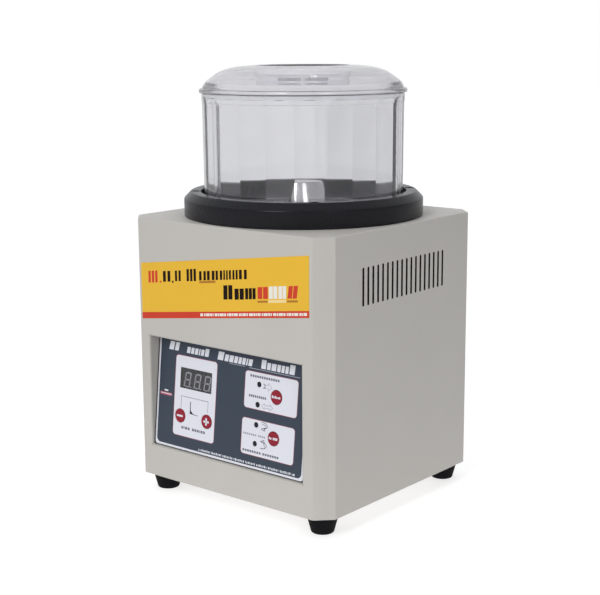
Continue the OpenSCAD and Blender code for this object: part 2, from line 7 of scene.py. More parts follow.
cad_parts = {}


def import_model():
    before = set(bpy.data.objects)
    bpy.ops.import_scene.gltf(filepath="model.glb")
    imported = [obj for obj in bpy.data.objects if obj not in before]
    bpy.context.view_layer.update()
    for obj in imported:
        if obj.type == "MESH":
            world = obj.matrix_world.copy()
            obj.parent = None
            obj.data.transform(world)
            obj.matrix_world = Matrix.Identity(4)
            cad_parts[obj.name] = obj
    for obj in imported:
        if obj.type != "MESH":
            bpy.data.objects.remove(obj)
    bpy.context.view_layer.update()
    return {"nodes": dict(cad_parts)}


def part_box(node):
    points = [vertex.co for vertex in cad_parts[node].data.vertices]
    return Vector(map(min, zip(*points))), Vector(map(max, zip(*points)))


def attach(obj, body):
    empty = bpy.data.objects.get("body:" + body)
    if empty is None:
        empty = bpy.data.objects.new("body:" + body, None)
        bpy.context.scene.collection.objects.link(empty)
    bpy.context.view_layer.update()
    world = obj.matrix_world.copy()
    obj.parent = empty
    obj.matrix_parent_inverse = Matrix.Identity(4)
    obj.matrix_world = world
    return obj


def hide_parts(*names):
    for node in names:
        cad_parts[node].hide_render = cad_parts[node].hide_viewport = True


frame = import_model()

MM = 0.001

# ---------- places read from the frame ----------

HOUSE_LO, HOUSE_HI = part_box("housing")
TRAY_LO, TRAY_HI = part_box("tray")
BOWL_LO, BOWL_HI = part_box("bowl")
CY = (TRAY_LO.y + TRAY_HI.y) / 2 / MM      # middle of the cabinet, bowl and rotor
TOP = HOUSE_HI.z / MM                      # top sheet
BASE = HOUSE_LO.z / MM                     # underside of the cabinet
FRONT = HOUSE_LO.y / MM
REAR = HOUSE_HI.y / MM
WIDTH = (HOUSE_HI.x - HOUSE_LO.x) / MM
DEPTH = REAR - FRONT
SHEET = 1.5                                # steel sheet of the cabinet
CUT = 13.5                                 # upright corner cut
FOOT_X = 91.7                              # middle of a foot
FEET_LO, FEET_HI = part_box("feet")
FOOT_R = FEET_HI.x / MM - FOOT_X
FEET_Y = (FEET_LO.y / MM + FOOT_R, FEET_HI.y / MM - FOOT_R)
OPEN_W, OPEN_H = 175.8, 100.7              # opening for the control plate
OPEN_Z = BASE + 29.6
TILT = math.radians(5.86)                  # the keypad leans back at its top
PANEL_IN = 1.66                            # how far its lower edge sits behind the front
PANEL = Matrix.Translation((0, FRONT + PANEL_IN, OPEN_Z + 0.4)) @ Matrix.Rotation(-TILT, 4, "X")

# ---------- mesh helpers, all in millimetres ----------


def finish_mesh(name, bm, mats, body, replaces=(), smooth=35):
    """Turns bm into an object in metres that rides on a body."""
    bmesh.ops.recalc_face_normals(bm, faces=bm.faces)
    for v in bm.verts:
        v.co *= MM
    me = bpy.data.meshes.new(name)
    bm.to_mesh(me)
    bm.free()
    ob = bpy.data.objects.new(name, me)
    bpy.context.scene.collection.objects.link(ob)
    for m in mats if isinstance(mats, (list, tuple)) else [mats]:
        me.materials.append(m)
    if smooth:
        for p in me.polygons:
            p.use_smooth = True
        me.set_sharp_from_angle(angle=math.radians(smooth))
    if body:
        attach(ob, body)
    for node in replaces:
        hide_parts(node)
    return ob


def rounded(points, n=6):
    """Rounds a 2D path. Each point is (x, y) or (x, y, radius); the path is closed."""
    out = []
    k = len(points)
    for i, p in enumerate(points):
        r = p[2] if len(p) > 2 else 0
        b = Vector(p[:2])
        if r <= 0:
            out.append(b)
            continue
        u = (Vector(points[i - 1][:2]) - b).normalized()
        w = (Vector(points[(i + 1) % k][:2]) - b).normalized()
        half = u.angle(w) / 2
        t = r / math.tan(half)
        mid = b + (u + w).normalized() * (r / math.sin(half))
        a = b + u * t
        c = b + w * t
        a0 = math.atan2(a.y - mid.y, a.x - mid.x)
        a1 = math.atan2(c.y - mid.y, c.x - mid.x)
        d = (a1 - a0 + math.pi) % (2 * math.pi) - math.pi
        for j in range(n + 1):
            q = a0 + d * j / n
            out.append(Vector((mid.x + r * math.cos(q), mid.y + r * math.sin(q))))
    return out


def lathe(profile, steps=160, centre=(0, 0), z=0, bm=None):
    """Turns a closed (radius, height) profile round a vertical axis."""
    bm = bm or bmesh.new()
    rings = []
    for r, h in profile:
        if r < 1e-6:
            rings.append([bm.verts.new((centre[0], centre[1], z + h))])
            continue
        rings.append([
            bm.verts.new((
                centre[0] + r * math.cos(2 * math.pi * i / steps),
                centre[1] + r * math.sin(2 * math.pi * i / steps),
                z + h,
            ))
            for i in range(steps)
        ])
    for a, b in zip(rings, rings[1:] + rings[:1]):
        if len(a) == 1 and len(b) == 1:
            continue
        for i in range(steps):
            j = (i + 1) % steps
            if len(a) == 1:
                bm.faces.new((a[0], b[i], b[j]))
            elif len(b) == 1:
                bm.faces.new((a[i], a[j], b[0]))
            else:
                bm.faces.new((a[i], a[j], b[j], b[i]))
    return bm


def loops(rings, bm=None, closed=True):
    """Skins rings that have the same number of points."""
    bm = bm or bmesh.new()
    vs = [[bm.verts.new(p) for p in ring] for ring in rings]
    pairs = list(zip(vs, vs[1:]))
    if closed:
        pairs.append((vs[-1], vs[0]))
    for a, b in pairs:
        k = len(a)
        for i in range(k):
            bm.faces.new((a[i], a[(i + 1) % k], b[(i + 1) % k], b[i]))
    return bm, vs


def prism(bm, outline, y0, y1, place=None, index=0, soft=0.0):
    """A flat solid from a 2D outline (x, up), from depth y0 (inner) to y1 (outer, nearer the viewer)."""
    place = place or Matrix.Identity(4)
    rows = [(0.0, y0), (0.0, y1)]
    if soft:
        rows = [(0.0, y0), (0.0, y1 + soft), (soft * 0.3, y1 + soft * 0.3), (soft, y1)]
    cx = sum(p[0] for p in outline) / len(outline)
    cz = sum(p[1] for p in outline) / len(outline)
    size = max(max(abs(p[0] - cx) for p in outline), 1e-6)
    tall = max(max(abs(p[1] - cz) for p in outline), 1e-6)
    vs = []
    for inset, y in rows:
        kx = 1 - inset / size
        kz = 1 - inset / tall
        vs.append([
            bm.verts.new(place @ Vector((cx + (p[0] - cx) * kx, y, cz + (p[1] - cz) * kz)))
            for p in outline
        ])
    k = len(outline)
    made = [bm.faces.new(vs[0]), bm.faces.new(list(reversed(vs[-1])))]
    for a, b in zip(vs, vs[1:]):
        for i in range(k):
            made.append(bm.faces.new((a[i], b[i], b[(i + 1) % k], a[(i + 1) % k])))
    for f in made:
        f.material_index = index
    return bm


def rect(x0, z0, x1, z1, r=0.0, n=5):
    pts = [(x0, z0), (x1, z0), (x1, z1), (x0, z1)]
    if r <= 0:
        return pts
    return [tuple(p) for p in rounded([(x, z, r) for x, z in pts], n)]


def circle(x, z, r, n=32):
    turns = [2 * math.pi * i / n for i in range(n)]
    return [(x + r * math.cos(a), z + r * math.sin(a)) for a in turns]


def stroke(points, width, closed=False):
    """Flat ribbons along a path, one four-sided outline for each leg."""
    out = []
    pts = list(points) + ([points[0]] if closed else [])
    for a, b in zip(pts, pts[1:]):
        d = Vector((b[0] - a[0], b[1] - a[1]))
        if d.length < 1e-6:
            continue
        u = d.normalized() * (width * 0.42)
        n = Vector((-d.y, d.x)).normalized() * (width / 2)
        p, q = Vector(a) - u, Vector(b) + u
        out.append([tuple(p - n), tuple(q - n), tuple(q + n), tuple(p + n)])
    return out


def cut(ob, cutter):
    """Takes cutter out of ob and leaves a plain mesh."""
    m = ob.modifiers.new("cut", "BOOLEAN")
    m.operation = "DIFFERENCE"
    m.solver = "EXACT"
    m.object = cutter
    dg = bpy.context.evaluated_depsgraph_get()
    me = bpy.data.meshes.new_from_object(ob.evaluated_get(dg))
    ob.modifiers.clear()
    old = ob.data
    ob.data = me
    bpy.data.meshes.remove(old)
    bpy.data.objects.remove(cutter)
    for p in me.polygons:
        p.use_smooth = True
    me.set_sharp_from_angle(angle=math.radians(30))
    return ob


# ---------- materials ----------

FACETS = 22                                # flats inside the bowl
PHASE = math.radians(10.14)                # where the first one starts
FLAT_STEP, FLAT_START = 1.65, 2.50         # how cloudiness runs from flat to flat; it paints a different sheen on each flat


class Mat:
    """A node material with a few helpers for procedural detail."""

    def __init__(self, name, color, rough=0.5, metal=0.0, **sockets):
        self.m = bpy.data.materials.new(name)
        self.m.use_nodes = True
        self.t = self.m.node_tree
        self.b = self.t.nodes["Principled BSDF"]
        self.b.inputs["Base Color"].default_value = (*color, 1)
        self.b.inputs["Roughness"].default_value = rough
        self.b.inputs["Metallic"].default_value = metal
        for k, v in sockets.items():
            self.b.inputs[k.replace("_", " ")].default_value = v
        self.co = self.t.nodes.new("ShaderNodeTexCoord").outputs["Object"]

    def node(self, kind, **props):
        n = self.t.nodes.new(kind)
        for k, v in props.items():
            setattr(n, k, v)
        return n

    def noise(self, scale, detail=3.0, rough=0.5, stretch=None, seed=0.0):
        n = self.node("ShaderNodeTexNoise", noise_dimensions="4D")
        n.inputs["Scale"].default_value = scale
        n.inputs["Detail"].default_value = detail
        n.inputs["Roughness"].default_value = rough
        n.inputs["W"].default_value = seed
        src = self.co
        if stretch:
            mp = self.node("ShaderNodeMapping")
            mp.inputs["Scale"].default_value = stretch
            self.t.links.new(src, mp.inputs["Vector"])
            src = mp.outputs["Vector"]
        self.t.links.new(src, n.inputs["Vector"])
        return n.outputs["Fac"]

    def ramp(self, fac, stops):
        r = self.node("ShaderNodeValToRGB")
        el = r.color_ramp.elements
        while len(el) < len(stops):
            el.new(0.5)
        for e, (pos, col) in zip(el, stops):
            e.position = pos
            e.color = (*col, 1) if len(col) == 3 else col
        self.t.links.new(fac, r.inputs["Fac"])
        return r.outputs["Color"]

    def span(self, fac, lo, hi, a=0.3, b=0.7):
        r = self.node("ShaderNodeMapRange")
        r.inputs["From Min"].default_value = a
        r.inputs["From Max"].default_value = b
        r.inputs["To Min"].default_value = lo
        r.inputs["To Max"].default_value = hi
        self.t.links.new(fac, r.inputs["Value"])
        return r.outputs["Result"]

    def to(self, out, socket):
        self.t.links.new(out, self.b.inputs[socket])
        return self

    def math(self, op, a, b=0.0):
        n = self.node("ShaderNodeMath", operation=op)
        for k, v in enumerate((a, b)):
            if isinstance(v, (int, float)):
                n.inputs[k].default_value = v
            else:
                self.t.links.new(v, n.inputs[k])
        return n.outputs[0]

    def facet_value(self, cy, phase, count):
        """0 to 1, a different value on each flat of a ring of flats round a vertical axis at (0, cy)."""
        sep = self.node("ShaderNodeSeparateXYZ")
        self.t.links.new(self.co, sep.inputs[0])
        turn = self.math("ARCTAN2", self.math("SUBTRACT", sep.outputs["Y"], cy), sep.outputs["X"])
        steps = self.math("MULTIPLY", self.math("SUBTRACT", turn, phase), count / (2 * math.pi))
        index = self.math("FLOOR", steps)
        wave = self.math("SINE", self.math("ADD", self.math("MULTIPLY", index, FLAT_STEP), FLAT_START))
        return self.math("ADD", self.math("MULTIPLY", wave, 0.5), 0.5)

    def bump(self, *layers):
        """Each layer is (height, strength, distance in metres)."""
        last = None
        for height, strength, dist in layers:
            n = self.node("ShaderNodeBump")
            n.inputs["Strength"].default_value = strength
            n.inputs["Distance"].default_value = dist
            self.t.links.new(height, n.inputs["Height"])
            if last:
                self.t.links.new(last, n.inputs["Normal"])
            last = n.outputs["Normal"]
        self.t.links.new(last, self.b.inputs["Normal"])
        return self


def shade(c, k):
    return tuple(min(1.0, x * k) for x in c)


def plain(name, color, rough=0.5, metal=0.0, grain=600, vary=0.06, bump=0.08, dist=0.00006, seed=0.0,
          gloss=0.3, **kw):
    """Moulded or painted surface: slight colour drift, fine grain and uneven gloss."""
    m = Mat(name, color, rough, metal, Specular_IOR_Level=gloss, **kw)
    broad = m.noise(14, 4, 0.55, seed=seed)
    fine = m.noise(grain, 2, 0.6, seed=seed + 3)
    m.to(m.ramp(broad, [(0.25, shade(color, 1 - vary)), (0.75, shade(color, 1 + vary))]), "Base Color")
    m.to(m.span(fine, max(rough - 0.06, 0.02), rough + 0.06), "Roughness")
    m.bump((fine, bump, dist), (broad, 0.15, 0.00012))
    return m.m


def brushed(name, color, rough=0.3, stretch=(1, 1, 60), grain=60, **kw):
    """Metal with fine drawn lines."""
    m = Mat(name, color, rough, 1.0, **kw)
    lines = m.noise(grain, 3, 0.6, stretch=stretch)
    blotch = m.noise(30, 3, 0.5, seed=2)
    m.to(m.ramp(blotch, [(0.3, shade(color, 0.9)), (0.7, shade(color, 1.06))]), "Base Color")
    m.to(m.span(lines, rough - 0.08, rough + 0.1), "Roughness")
    m.bump((lines, 0.06, 0.00005))
    return m.m


def clear(name, tint, rough=0.03, ior=1.49, shadow=0.9, haze=0.0, facets=None, scratch=0.0, wavy=0.25,
          streak=0.0):
    """Clear moulded plastic. Lamps pass through it softly instead of making hard caustics.

    haze is how cloudy it is; with facets = (centre y, phase, count) each flat gets its own cloudiness, a
    painted sheen that differs from flat to flat.
    scratch roughens a worn surface, wavy is the slow ripple of a moulding, and streak draws upright lines:
    a bump, and light and dark lines painted into the colour as painted highlights and painted shade.
    """
    m = Mat(name, tint, rough, 0.0, IOR=ior, Transmission_Weight=1.0 - haze)
    cloud = m.noise(40, 4, 0.6)
    wave = m.noise(9, 2, 0.4, seed=4)
    fine = m.noise(500, 2, 0.5, seed=7)
    m.to(m.ramp(cloud, [(0.3, shade(tint, 0.985)), (0.7, shade(tint, 1.01))]), "Base Color")
    m.to(m.span(cloud, rough * 0.6, rough * 1.6), "Roughness")
    if streak:
        streak_glints = m.noise(170, 2, 0.5, stretch=(1, 1, 0.04), seed=5)
        m.bump((wave, wavy, 0.0009), (streak_glints, streak, 0.002))
        # light and dark upright lines in the colour: painted highlights and painted shade
        stops = [(0.3, shade(tint, 0.6)), (0.56, tint), (0.64, (0.95, 0.95, 0.97))]
        m.to(m.ramp(streak_glints, stops), "Base Color")
    else:
        m.bump((wave, wavy, 0.0009), (fine, 0.02, 0.00003))
    if facets:
        # each flat's own cloudiness: painted sheen
        value = m.facet_value(*facets)
        m.to(m.span(m.math("MULTIPLY", value, value), 1.0, 1.0 - haze, 0.0, 1.0), "Transmission Weight")
    if scratch:
        lines = m.noise(260, 5, 0.7, seed=11)
        m.to(m.span(lines, 1.0 - haze * 0.5, 1.0 - haze * 1.6, 0.35, 0.65), "Transmission Weight")
        m.to(m.span(lines, rough, rough + scratch, 0.35, 0.65), "Roughness")
    out = m.t.nodes["Material Output"]
    path = m.node("ShaderNodeLightPath")
    thin = m.node("ShaderNodeBsdfTransparent")
    thin.inputs["Color"].default_value = (*shade(tint, shadow), 1)
    mix = m.node("ShaderNodeMixShader")
    m.t.links.new(path.outputs["Is Shadow Ray"], mix.inputs[0])
    m.t.links.new(m.b.outputs[0], mix.inputs[1])
    m.t.links.new(thin.outputs[0], mix.inputs[2])
    m.t.links.new(mix.outputs[0], out.inputs["Surface"])
    return m.m


CASE = (0.565, 0.545, 0.51)
M = {
    "case": plain("case_paint", CASE, 0.46, grain=900, vary=0.018, bump=0.22, dist=0.00005),
    # the recess walls carry the body's own paint; this copy at 0.84 of its brightness is painted shade
    "recess": plain("recess_painted_shade", shade(CASE, 0.84), 0.46, grain=900, vary=0.018, bump=0.22,
                    dist=0.00005),
    # near black: painted shade on the cabinet's inner skin, the walls of the side slots and the plate
    # behind the film
    "inside": plain("case_inside_painted_shade", (0.016, 0.015, 0.013), 0.7, grain=600, vary=0.1, bump=0.1, gloss=0.05),
    "black": plain("tray_moulding", (0.017, 0.0172, 0.0205), 0.26, grain=1400, vary=0.08, bump=0.04,
                   dist=0.00002, gloss=0.12),
    "rubber": plain("foot_rubber", (0.008, 0.008, 0.010), 0.6, grain=700, vary=0.25, bump=0.3, gloss=0.1),
    "plastic": plain("black_plastic", (0.02, 0.02, 0.022), 0.45, grain=900, vary=0.2, bump=0.2),
    "navy": plain("print_navy", (0.044, 0.060, 0.088), 0.36, grain=1500, vary=0.05, bump=0.06),
    "white": plain("print_white", (0.79, 0.80, 0.87), 0.36, grain=1500, vary=0.02, bump=0.05),
    "ink": plain("print_ink", (0.022, 0.026, 0.045), 0.4, grain=1500, vary=0.2, bump=0.05),
    "grey_ink": plain("print_grey", (0.17, 0.175, 0.22), 0.4, grain=1500, vary=0.1, bump=0.05),
    "soft_ink": plain("print_soft", (0.36, 0.37, 0.43), 0.4, grain=1500, vary=0.05, bump=0.05),
    "pink": plain("print_pink", (0.42, 0.10, 0.15), 0.4, grain=1500, vary=0.1, bump=0.05),
    "key": plain("key_red", (0.30, 0.012, 0.03), 0.34, grain=1200, vary=0.1, bump=0.06),
    "yellow": plain("label_yellow", (0.86, 0.51, 0.036), 0.38, grain=1300, vary=0.03, bump=0.05),
    "red": plain("label_red", (0.66, 0.045, 0.018), 0.38, grain=1300, vary=0.05, bump=0.05),
    "brown": plain("label_shadow", (0.47, 0.19, 0.02), 0.38, grain=1300, vary=0.05, bump=0.05),
    "black_ink": plain("label_black", (0.012, 0.004, 0.003), 0.38, grain=1300, vary=0.2, bump=0.05,
                       gloss=0.12),
    "label_white": plain("label_white", (0.86, 0.85, 0.8), 0.38, grain=1300, vary=0.02, bump=0.05),
    "cream": plain("label_cream", (0.93, 0.74, 0.36), 0.38, grain=1300, vary=0.02, bump=0.05),
    "steel": brushed("zinc_steel", (0.56, 0.56, 0.57), 0.34, stretch=(1, 1, 1), grain=200),
    "stainless": brushed("post_stainless", (0.50, 0.495, 0.49), 0.17, stretch=(1, 1, 4), grain=160),
    "alu": brushed("machined_alu", (0.72, 0.73, 0.74), 0.3, stretch=(1, 1, 1), grain=160),
    "brass": brushed("turned_brass", (0.66, 0.44, 0.16), 0.3, stretch=(1, 1, 1), grain=160),
    "copper": brushed("copper_wire", (0.62, 0.25, 0.10), 0.38, stretch=(1, 1, 12), grain=90),
    "laminate": plain("dark_laminations", (0.05, 0.05, 0.055), 0.42, metal=0.6, grain=500, vary=0.2),
    "ferrite": plain("ferrite", (0.035, 0.035, 0.038), 0.55, grain=800, vary=0.2),
    "magnet": brushed("nickel", (0.66, 0.64, 0.6), 0.2, stretch=(1, 1, 1), grain=120),
    "board": plain("circuit_board", (0.015, 0.10, 0.045), 0.35, grain=300, vary=0.15),
    "segment": plain("unlit_segment", (0.50, 0.50, 0.52), 0.5, grain=1500, vary=0.06),
    "face": plain("display_face", (0.020, 0.0195, 0.024), 0.5, grain=1500, vary=0.2),
    "lamp": plain("lamp_lens", (0.012, 0.012, 0.02), 0.18, grain=900, vary=0.2, bump=0.03),
    "clear": clear("clear_plastic", (0.95, 0.95, 0.97), 0.03, ior=1.42, haze=0.02),
    "foot": clear("clear_foot", (0.95, 0.95, 0.97), 0.03, ior=1.42),
    # per-flat cloudiness makes each flat lighter or darker: painted sheen, the lamps' reflections
    # differing from flat to flat
    "facets": clear("clear_facets_painted_sheen", (0.95, 0.95, 0.97), 0.03, ior=1.42, haze=0.055,
                    facets=(CY * MM, PHASE, FACETS)),
    "low_facets": clear("clear_low_facets_painted_sheen", (0.95, 0.95, 0.97), 0.03, ior=1.42, haze=0.07,
                        facets=(CY * MM, PHASE, FACETS)),
    # worn and scratched; its cloudiness also lightens the floor as a painted sheen
    "floor": clear("clear_worn_floor_and_sheen", (0.95, 0.95, 0.97), 0.05, ior=1.42, haze=0.16, scratch=0.14),
    "lid": clear("clear_lid", (0.935, 0.93, 0.95), 0.05, ior=1.46, haze=0.05),
    # dark tint on the lid's brim underside and the well's lower corner: painted shade, the dark lines
    # these edges show
    "lid_edge": clear("clear_lid_painted_dark_edge", (0.09, 0.09, 0.095), 0.12, ior=1.46, haze=0.4, shadow=6.0),
    # its upright light and dark lines are painted highlights and painted shade
    "grip": clear("frosted_grip", (0.34, 0.34, 0.35), 0.14, ior=1.49, haze=0.8, streak=1.6),
    "smoke": clear("display_film", (0.72, 0.72, 0.75), 0.02, wavy=0.0),
}
CAD_LOOK = {
    "case": ["housing", "base_plate", "rear_panel", "recess_frame", "recess_rails", "control_plate"],
    "rubber": ["feet"],
    "steel": ["base_screws", "foot_screws", "rear_screws", "board_screws", "tray_screws", "motor_plate",
              "spacer_screws", "motor_screws", "bearings", "shaft", "hub_screws"],
    "stainless": ["bowl_post"],
    "alu": ["plate_spacers", "motor_caps", "hub", "magnet_disc"],
    "brass": ["board_spacers", "brushes", "power_spacers", "inlet_pins"],
    "copper": ["windings", "commutator", "transformer_coil"],
    "laminate": ["motor_case", "armature", "transformer_core"],
    "ferrite": ["field_magnets"],
    "magnet": ["magnets"],
    "board": ["control_board", "power_board"],
    "plastic": ["board_parts", "key_switches", "fan", "power_parts", "inlet_body", "fuse_drawer"],
    "black": ["tray"],
    "clear": ["bowl"],
    "lid": ["lid"],
    "yellow": ["label"],
    "navy": ["overlay"],
    "smoke": ["display_window"],
    "face": ["display_block"],
    "segment": ["digits"],
    "lamp": ["lamps"],
    "key": ["key_minus", "key_plus", "key_select", "key_run", "rocker"],
}
for look, names in CAD_LOOK.items():
    for n in names:
        ob = frame["nodes"][n]
        ob.data.materials.clear()
        ob.data.materials.append(M[look])


# ---------- camera ----------


def camera():
    """The viewpoint: 39.7 degrees round to the right of the front, 11.3 degrees down."""
    a, e, r = math.radians(39.704), math.radians(11.25), math.radians(-0.333)
    back = Vector((math.sin(a) * math.cos(e), -math.cos(a) * math.cos(e), math.sin(e)))
    right = Vector((math.cos(a), math.sin(a), 0))
    up = back.cross(right)
    x = right * math.cos(r) + up * math.sin(r)
    y = -right * math.sin(r) + up * math.cos(r)
    data = bpy.data.cameras.new("camera")
    data.lens = 78.49
    data.sensor_width = 36
    data.clip_end = 50
    ob = bpy.data.objects.new("camera", data)
    bpy.context.scene.collection.objects.link(ob)
    m = Matrix((x, y, back)).transposed().to_4x4()
    m.translation = Vector((744.9, -903.0 + CY, 408.7)) * MM    # from the bowl's axis at floor level
    ob.matrix_world = m
    bpy.context.scene.camera = ob


camera()

# ---------- cabinet ----------


def ring_points(inset, z, soft=3.2, crisp=1.0, n=5):
    """The cabinet's outline at one height: soft bends at the front, crisper ones elsewhere."""
    w, d = WIDTH / 2 - inset, DEPTH / 2 - inset
    c = CUT - inset * (2 - math.sqrt(2))
    s = max(soft - inset, 0.4)
    k = max(crisp - inset, 0.3)
    pts = [
        (w - c, -d, s), (w, -d + c, k), (w, d - c, k), (w - c, d, s),
        (-w + c, d, s), (-w, d - c, k), (-w, -d + c, k), (-w + c, -d, s),
    ]
    out = []
    corners = rounded(pts, n)
    k = len(corners)
    for i, p in enumerate(corners):
        q = corners[(i + 1) % k]
        out.append(p)
        if (q - p).length > 40:
            out += [p.lerp(q, t / 6) for t in range(1, 6)]
    return [Vector((p.x, p.y + CY, z)) for p in out]


def hole_points(r, z):
    """A circle with as many points as the cabinet's outline, so that the two can be joined."""
    out = []
    for p in ring_points(0, z):
        reach = math.hypot(p.x, p.y - CY)
        out.append(Vector((p.x * r / reach, CY + (p.y - CY) * r / reach, z)))
    return out


VENTS, VENT_PITCH = 18, 6.84               # slots on each side
VENT_Y, VENT_Z = CY - 60.1, TOP - 45.8     # the front slot's middle
VENT_W, VENT_L = 1.3, 16.2                 # half its width and length
TRAY_HOLE = 80                             # radius of the hole in the top sheet, under the tray
NUT_R = 5.4                                # clearance hole for a foot screw's nut


def build_housing():
    """Folded sheet: walls, top with its bends, bottom flange; then the openings are cut."""
    b = 1.6                                # outside radius of the top bends
    flange = SHEET + 11
    rows = [ring_points(0.5, BASE), ring_points(0.12, BASE + 0.15), ring_points(0, BASE + 0.6)]
    rows.append(ring_points(0, TOP - 60))
    for i in range(6):
        q = math.pi / 2 * i / 5
        rows.append(ring_points(b * (1 - math.cos(q)), TOP - b + b * math.sin(q)))
    rows += [hole_points(TRAY_HOLE + 0.4, TOP), hole_points(TRAY_HOLE, TOP - 0.4)]
    rows.append(hole_points(TRAY_HOLE, TOP - SHEET))
    rows += [ring_points(inset, z) for inset, z in (
        (SHEET, TOP - SHEET), (SHEET, BASE + 3), (flange, BASE + 3),
        (flange, BASE + 1.5), (SHEET, BASE + 1.5), (SHEET, BASE),
    )]
    bm, vs = loops(rows)
    # the inner skin takes the near-black material: painted shade inside the cabinet
    inner = {v for ring in vs[-6:-3] for v in ring}
    for f in bm.faces:
        f.material_index = 1 if all(v in inner for v in f.verts) else 0
    ob = finish_mesh("cabinet_shell", bm, [M["case"], M["inside"]], "cabinet", ["housing"], smooth=30)
    cb = bmesh.new()
    g = 1.2                                # the lip's own wall
    prism(cb, rect(-OPEN_W / 2 - g, OPEN_Z - g, OPEN_W / 2 + g, OPEN_Z + OPEN_H + g), FRONT + 6, FRONT - 5)
    prism(cb, rect(-67, BASE + 18, 67, BASE + 102, 2), REAR + 5, REAR - 5)
    turn = Matrix.Rotation(math.pi / 2, 4, "Z")
    for s in (-1, 1):
        wall = -s * WIDTH / 2
        for i in range(VENTS):
            y = VENT_Y + i * VENT_PITCH
            slot = rect(y - VENT_W, VENT_Z - VENT_L, y + VENT_W, VENT_Z + VENT_L, 1.28, 4)
            prism(cb, slot, wall + 4, wall - 4, turn)
    bmesh.ops.recalc_face_normals(cb, faces=cb.faces)
    drill = [(0, BASE + 0.8), (NUT_R, BASE + 0.8), (NUT_R, BASE + 4), (0, BASE + 4)]
    for s in (-1, 1):
        for y in FEET_Y:
            lathe(drill, 32, (s * FOOT_X, y), 0, cb)
    # the side slots' cut walls take the near-black material: painted shade in the slots
    for f in cb.faces:
        f.material_index = 1 if abs(f.calc_center_median().x) > 100 else 0
    cutter = finish_mesh("cutter", cb, [M["case"], M["inside"]], None, smooth=0)
    cut(ob, cutter)
    return ob


build_housing()


def build_lip():
    """The opening's rounded lip and the walls that run back from it."""
    r = 1.15
    rows = []
    sizes = [(1.2, 0.0)]
    for i in range(6):
        q = math.pi / 2 * i / 5
        sizes.append((r * (1 - math.sin(q)), r * (1 - math.cos(q))))
    sizes += [(0.0, 21.4), (1.2, 21.4)]
    for out, y in sizes:
        w, z0, z1 = OPEN_W / 2 + out, OPEN_Z - out, OPEN_Z + OPEN_H + out
        pts = rounded([(x, z, 0.6 + out) for x, z in ((-w, z0), (w, z0), (w, z1), (-w, z1))], 4)
        rows.append([Vector((p.x, FRONT + y, p.y)) for p in pts])
    bm = loops(rows)[0]
    # the walls take the darker copy of the body paint: painted shade in the recess
    finish_mesh("recess_walls", bm, M["recess"], "cabinet", ["recess_frame"], smooth=40)


build_lip()

# ---------- feet ----------


def build_feet():
    """Four flared rubber feet, each with a recess for its screw."""
    bm = bmesh.new()
    prof = rounded([
        (2.7, 6, 0.3), (5.6, 6, 0.5), (5.6, 0, 0.4), (9.7, 0, 1.4),
        (14.1, 16.4, 1.2), (13.4, 17.4, 0.4), (2.7, 17.4, 0),
    ], 5)
    for x in (-FOOT_X, FOOT_X):
        for y in FEET_Y:
            lathe([(p.x, p.y) for p in prof], 64, (x, y), 0, bm)
    finish_mesh("rubber_feet", bm, M["rubber"], "cabinet", ["feet"])


build_feet()

# ---------- tray ----------


def build_tray():
    """Shallow round tray with a screw hole on each diagonal of its ring."""
    prof = rounded([
        (0.01, 0.02, 0), (106.9, 0.02, 0.5), (107, 15.4, 3.0), (100.8, 21.55, 2.2),
        (91.9, 21.55, 0.9), (91.5, 3, 2.0), (0.01, 3, 0),
    ], 7)
    bm = lathe([(p.x, p.y) for p in prof], 200, (0, CY), TOP)
    ob = finish_mesh("tray_ring", bm, M["black"], "cabinet", ["tray"], smooth=40)
    cb = bmesh.new()
    for a in range(45, 360, 90):
        x, y = 96.2 * math.cos(math.radians(a)), CY + 96.2 * math.sin(math.radians(a))
        lathe([(0, 9), (3.7, 9), (3.7, 21.1), (4.1, 21.6), (4.3, 23), (0, 23)], 40, (x, y), TOP, cb)
    cutter = finish_mesh("cutter", cb, M["black"], None, smooth=0)
    cut(ob, cutter)


build_tray()

# ---------- bowl, post and lid ----------

FILLET = 4.0                               # inside, between the flats and the floor
FLOOR_T = 2.2                              # floor of the bowl
MOUTH_R = 86.82                            # round part inside, above the flats
ARCH_Z = 93.0                              # where the flats start to arch over
FLATS_TOP = 101.9                          # above this the inside is plain
LOW_FLATS = 20.1                           # flats below this get their own, cloudier painted sheen
FOOT_BAND = 17                             # so has the outside below this


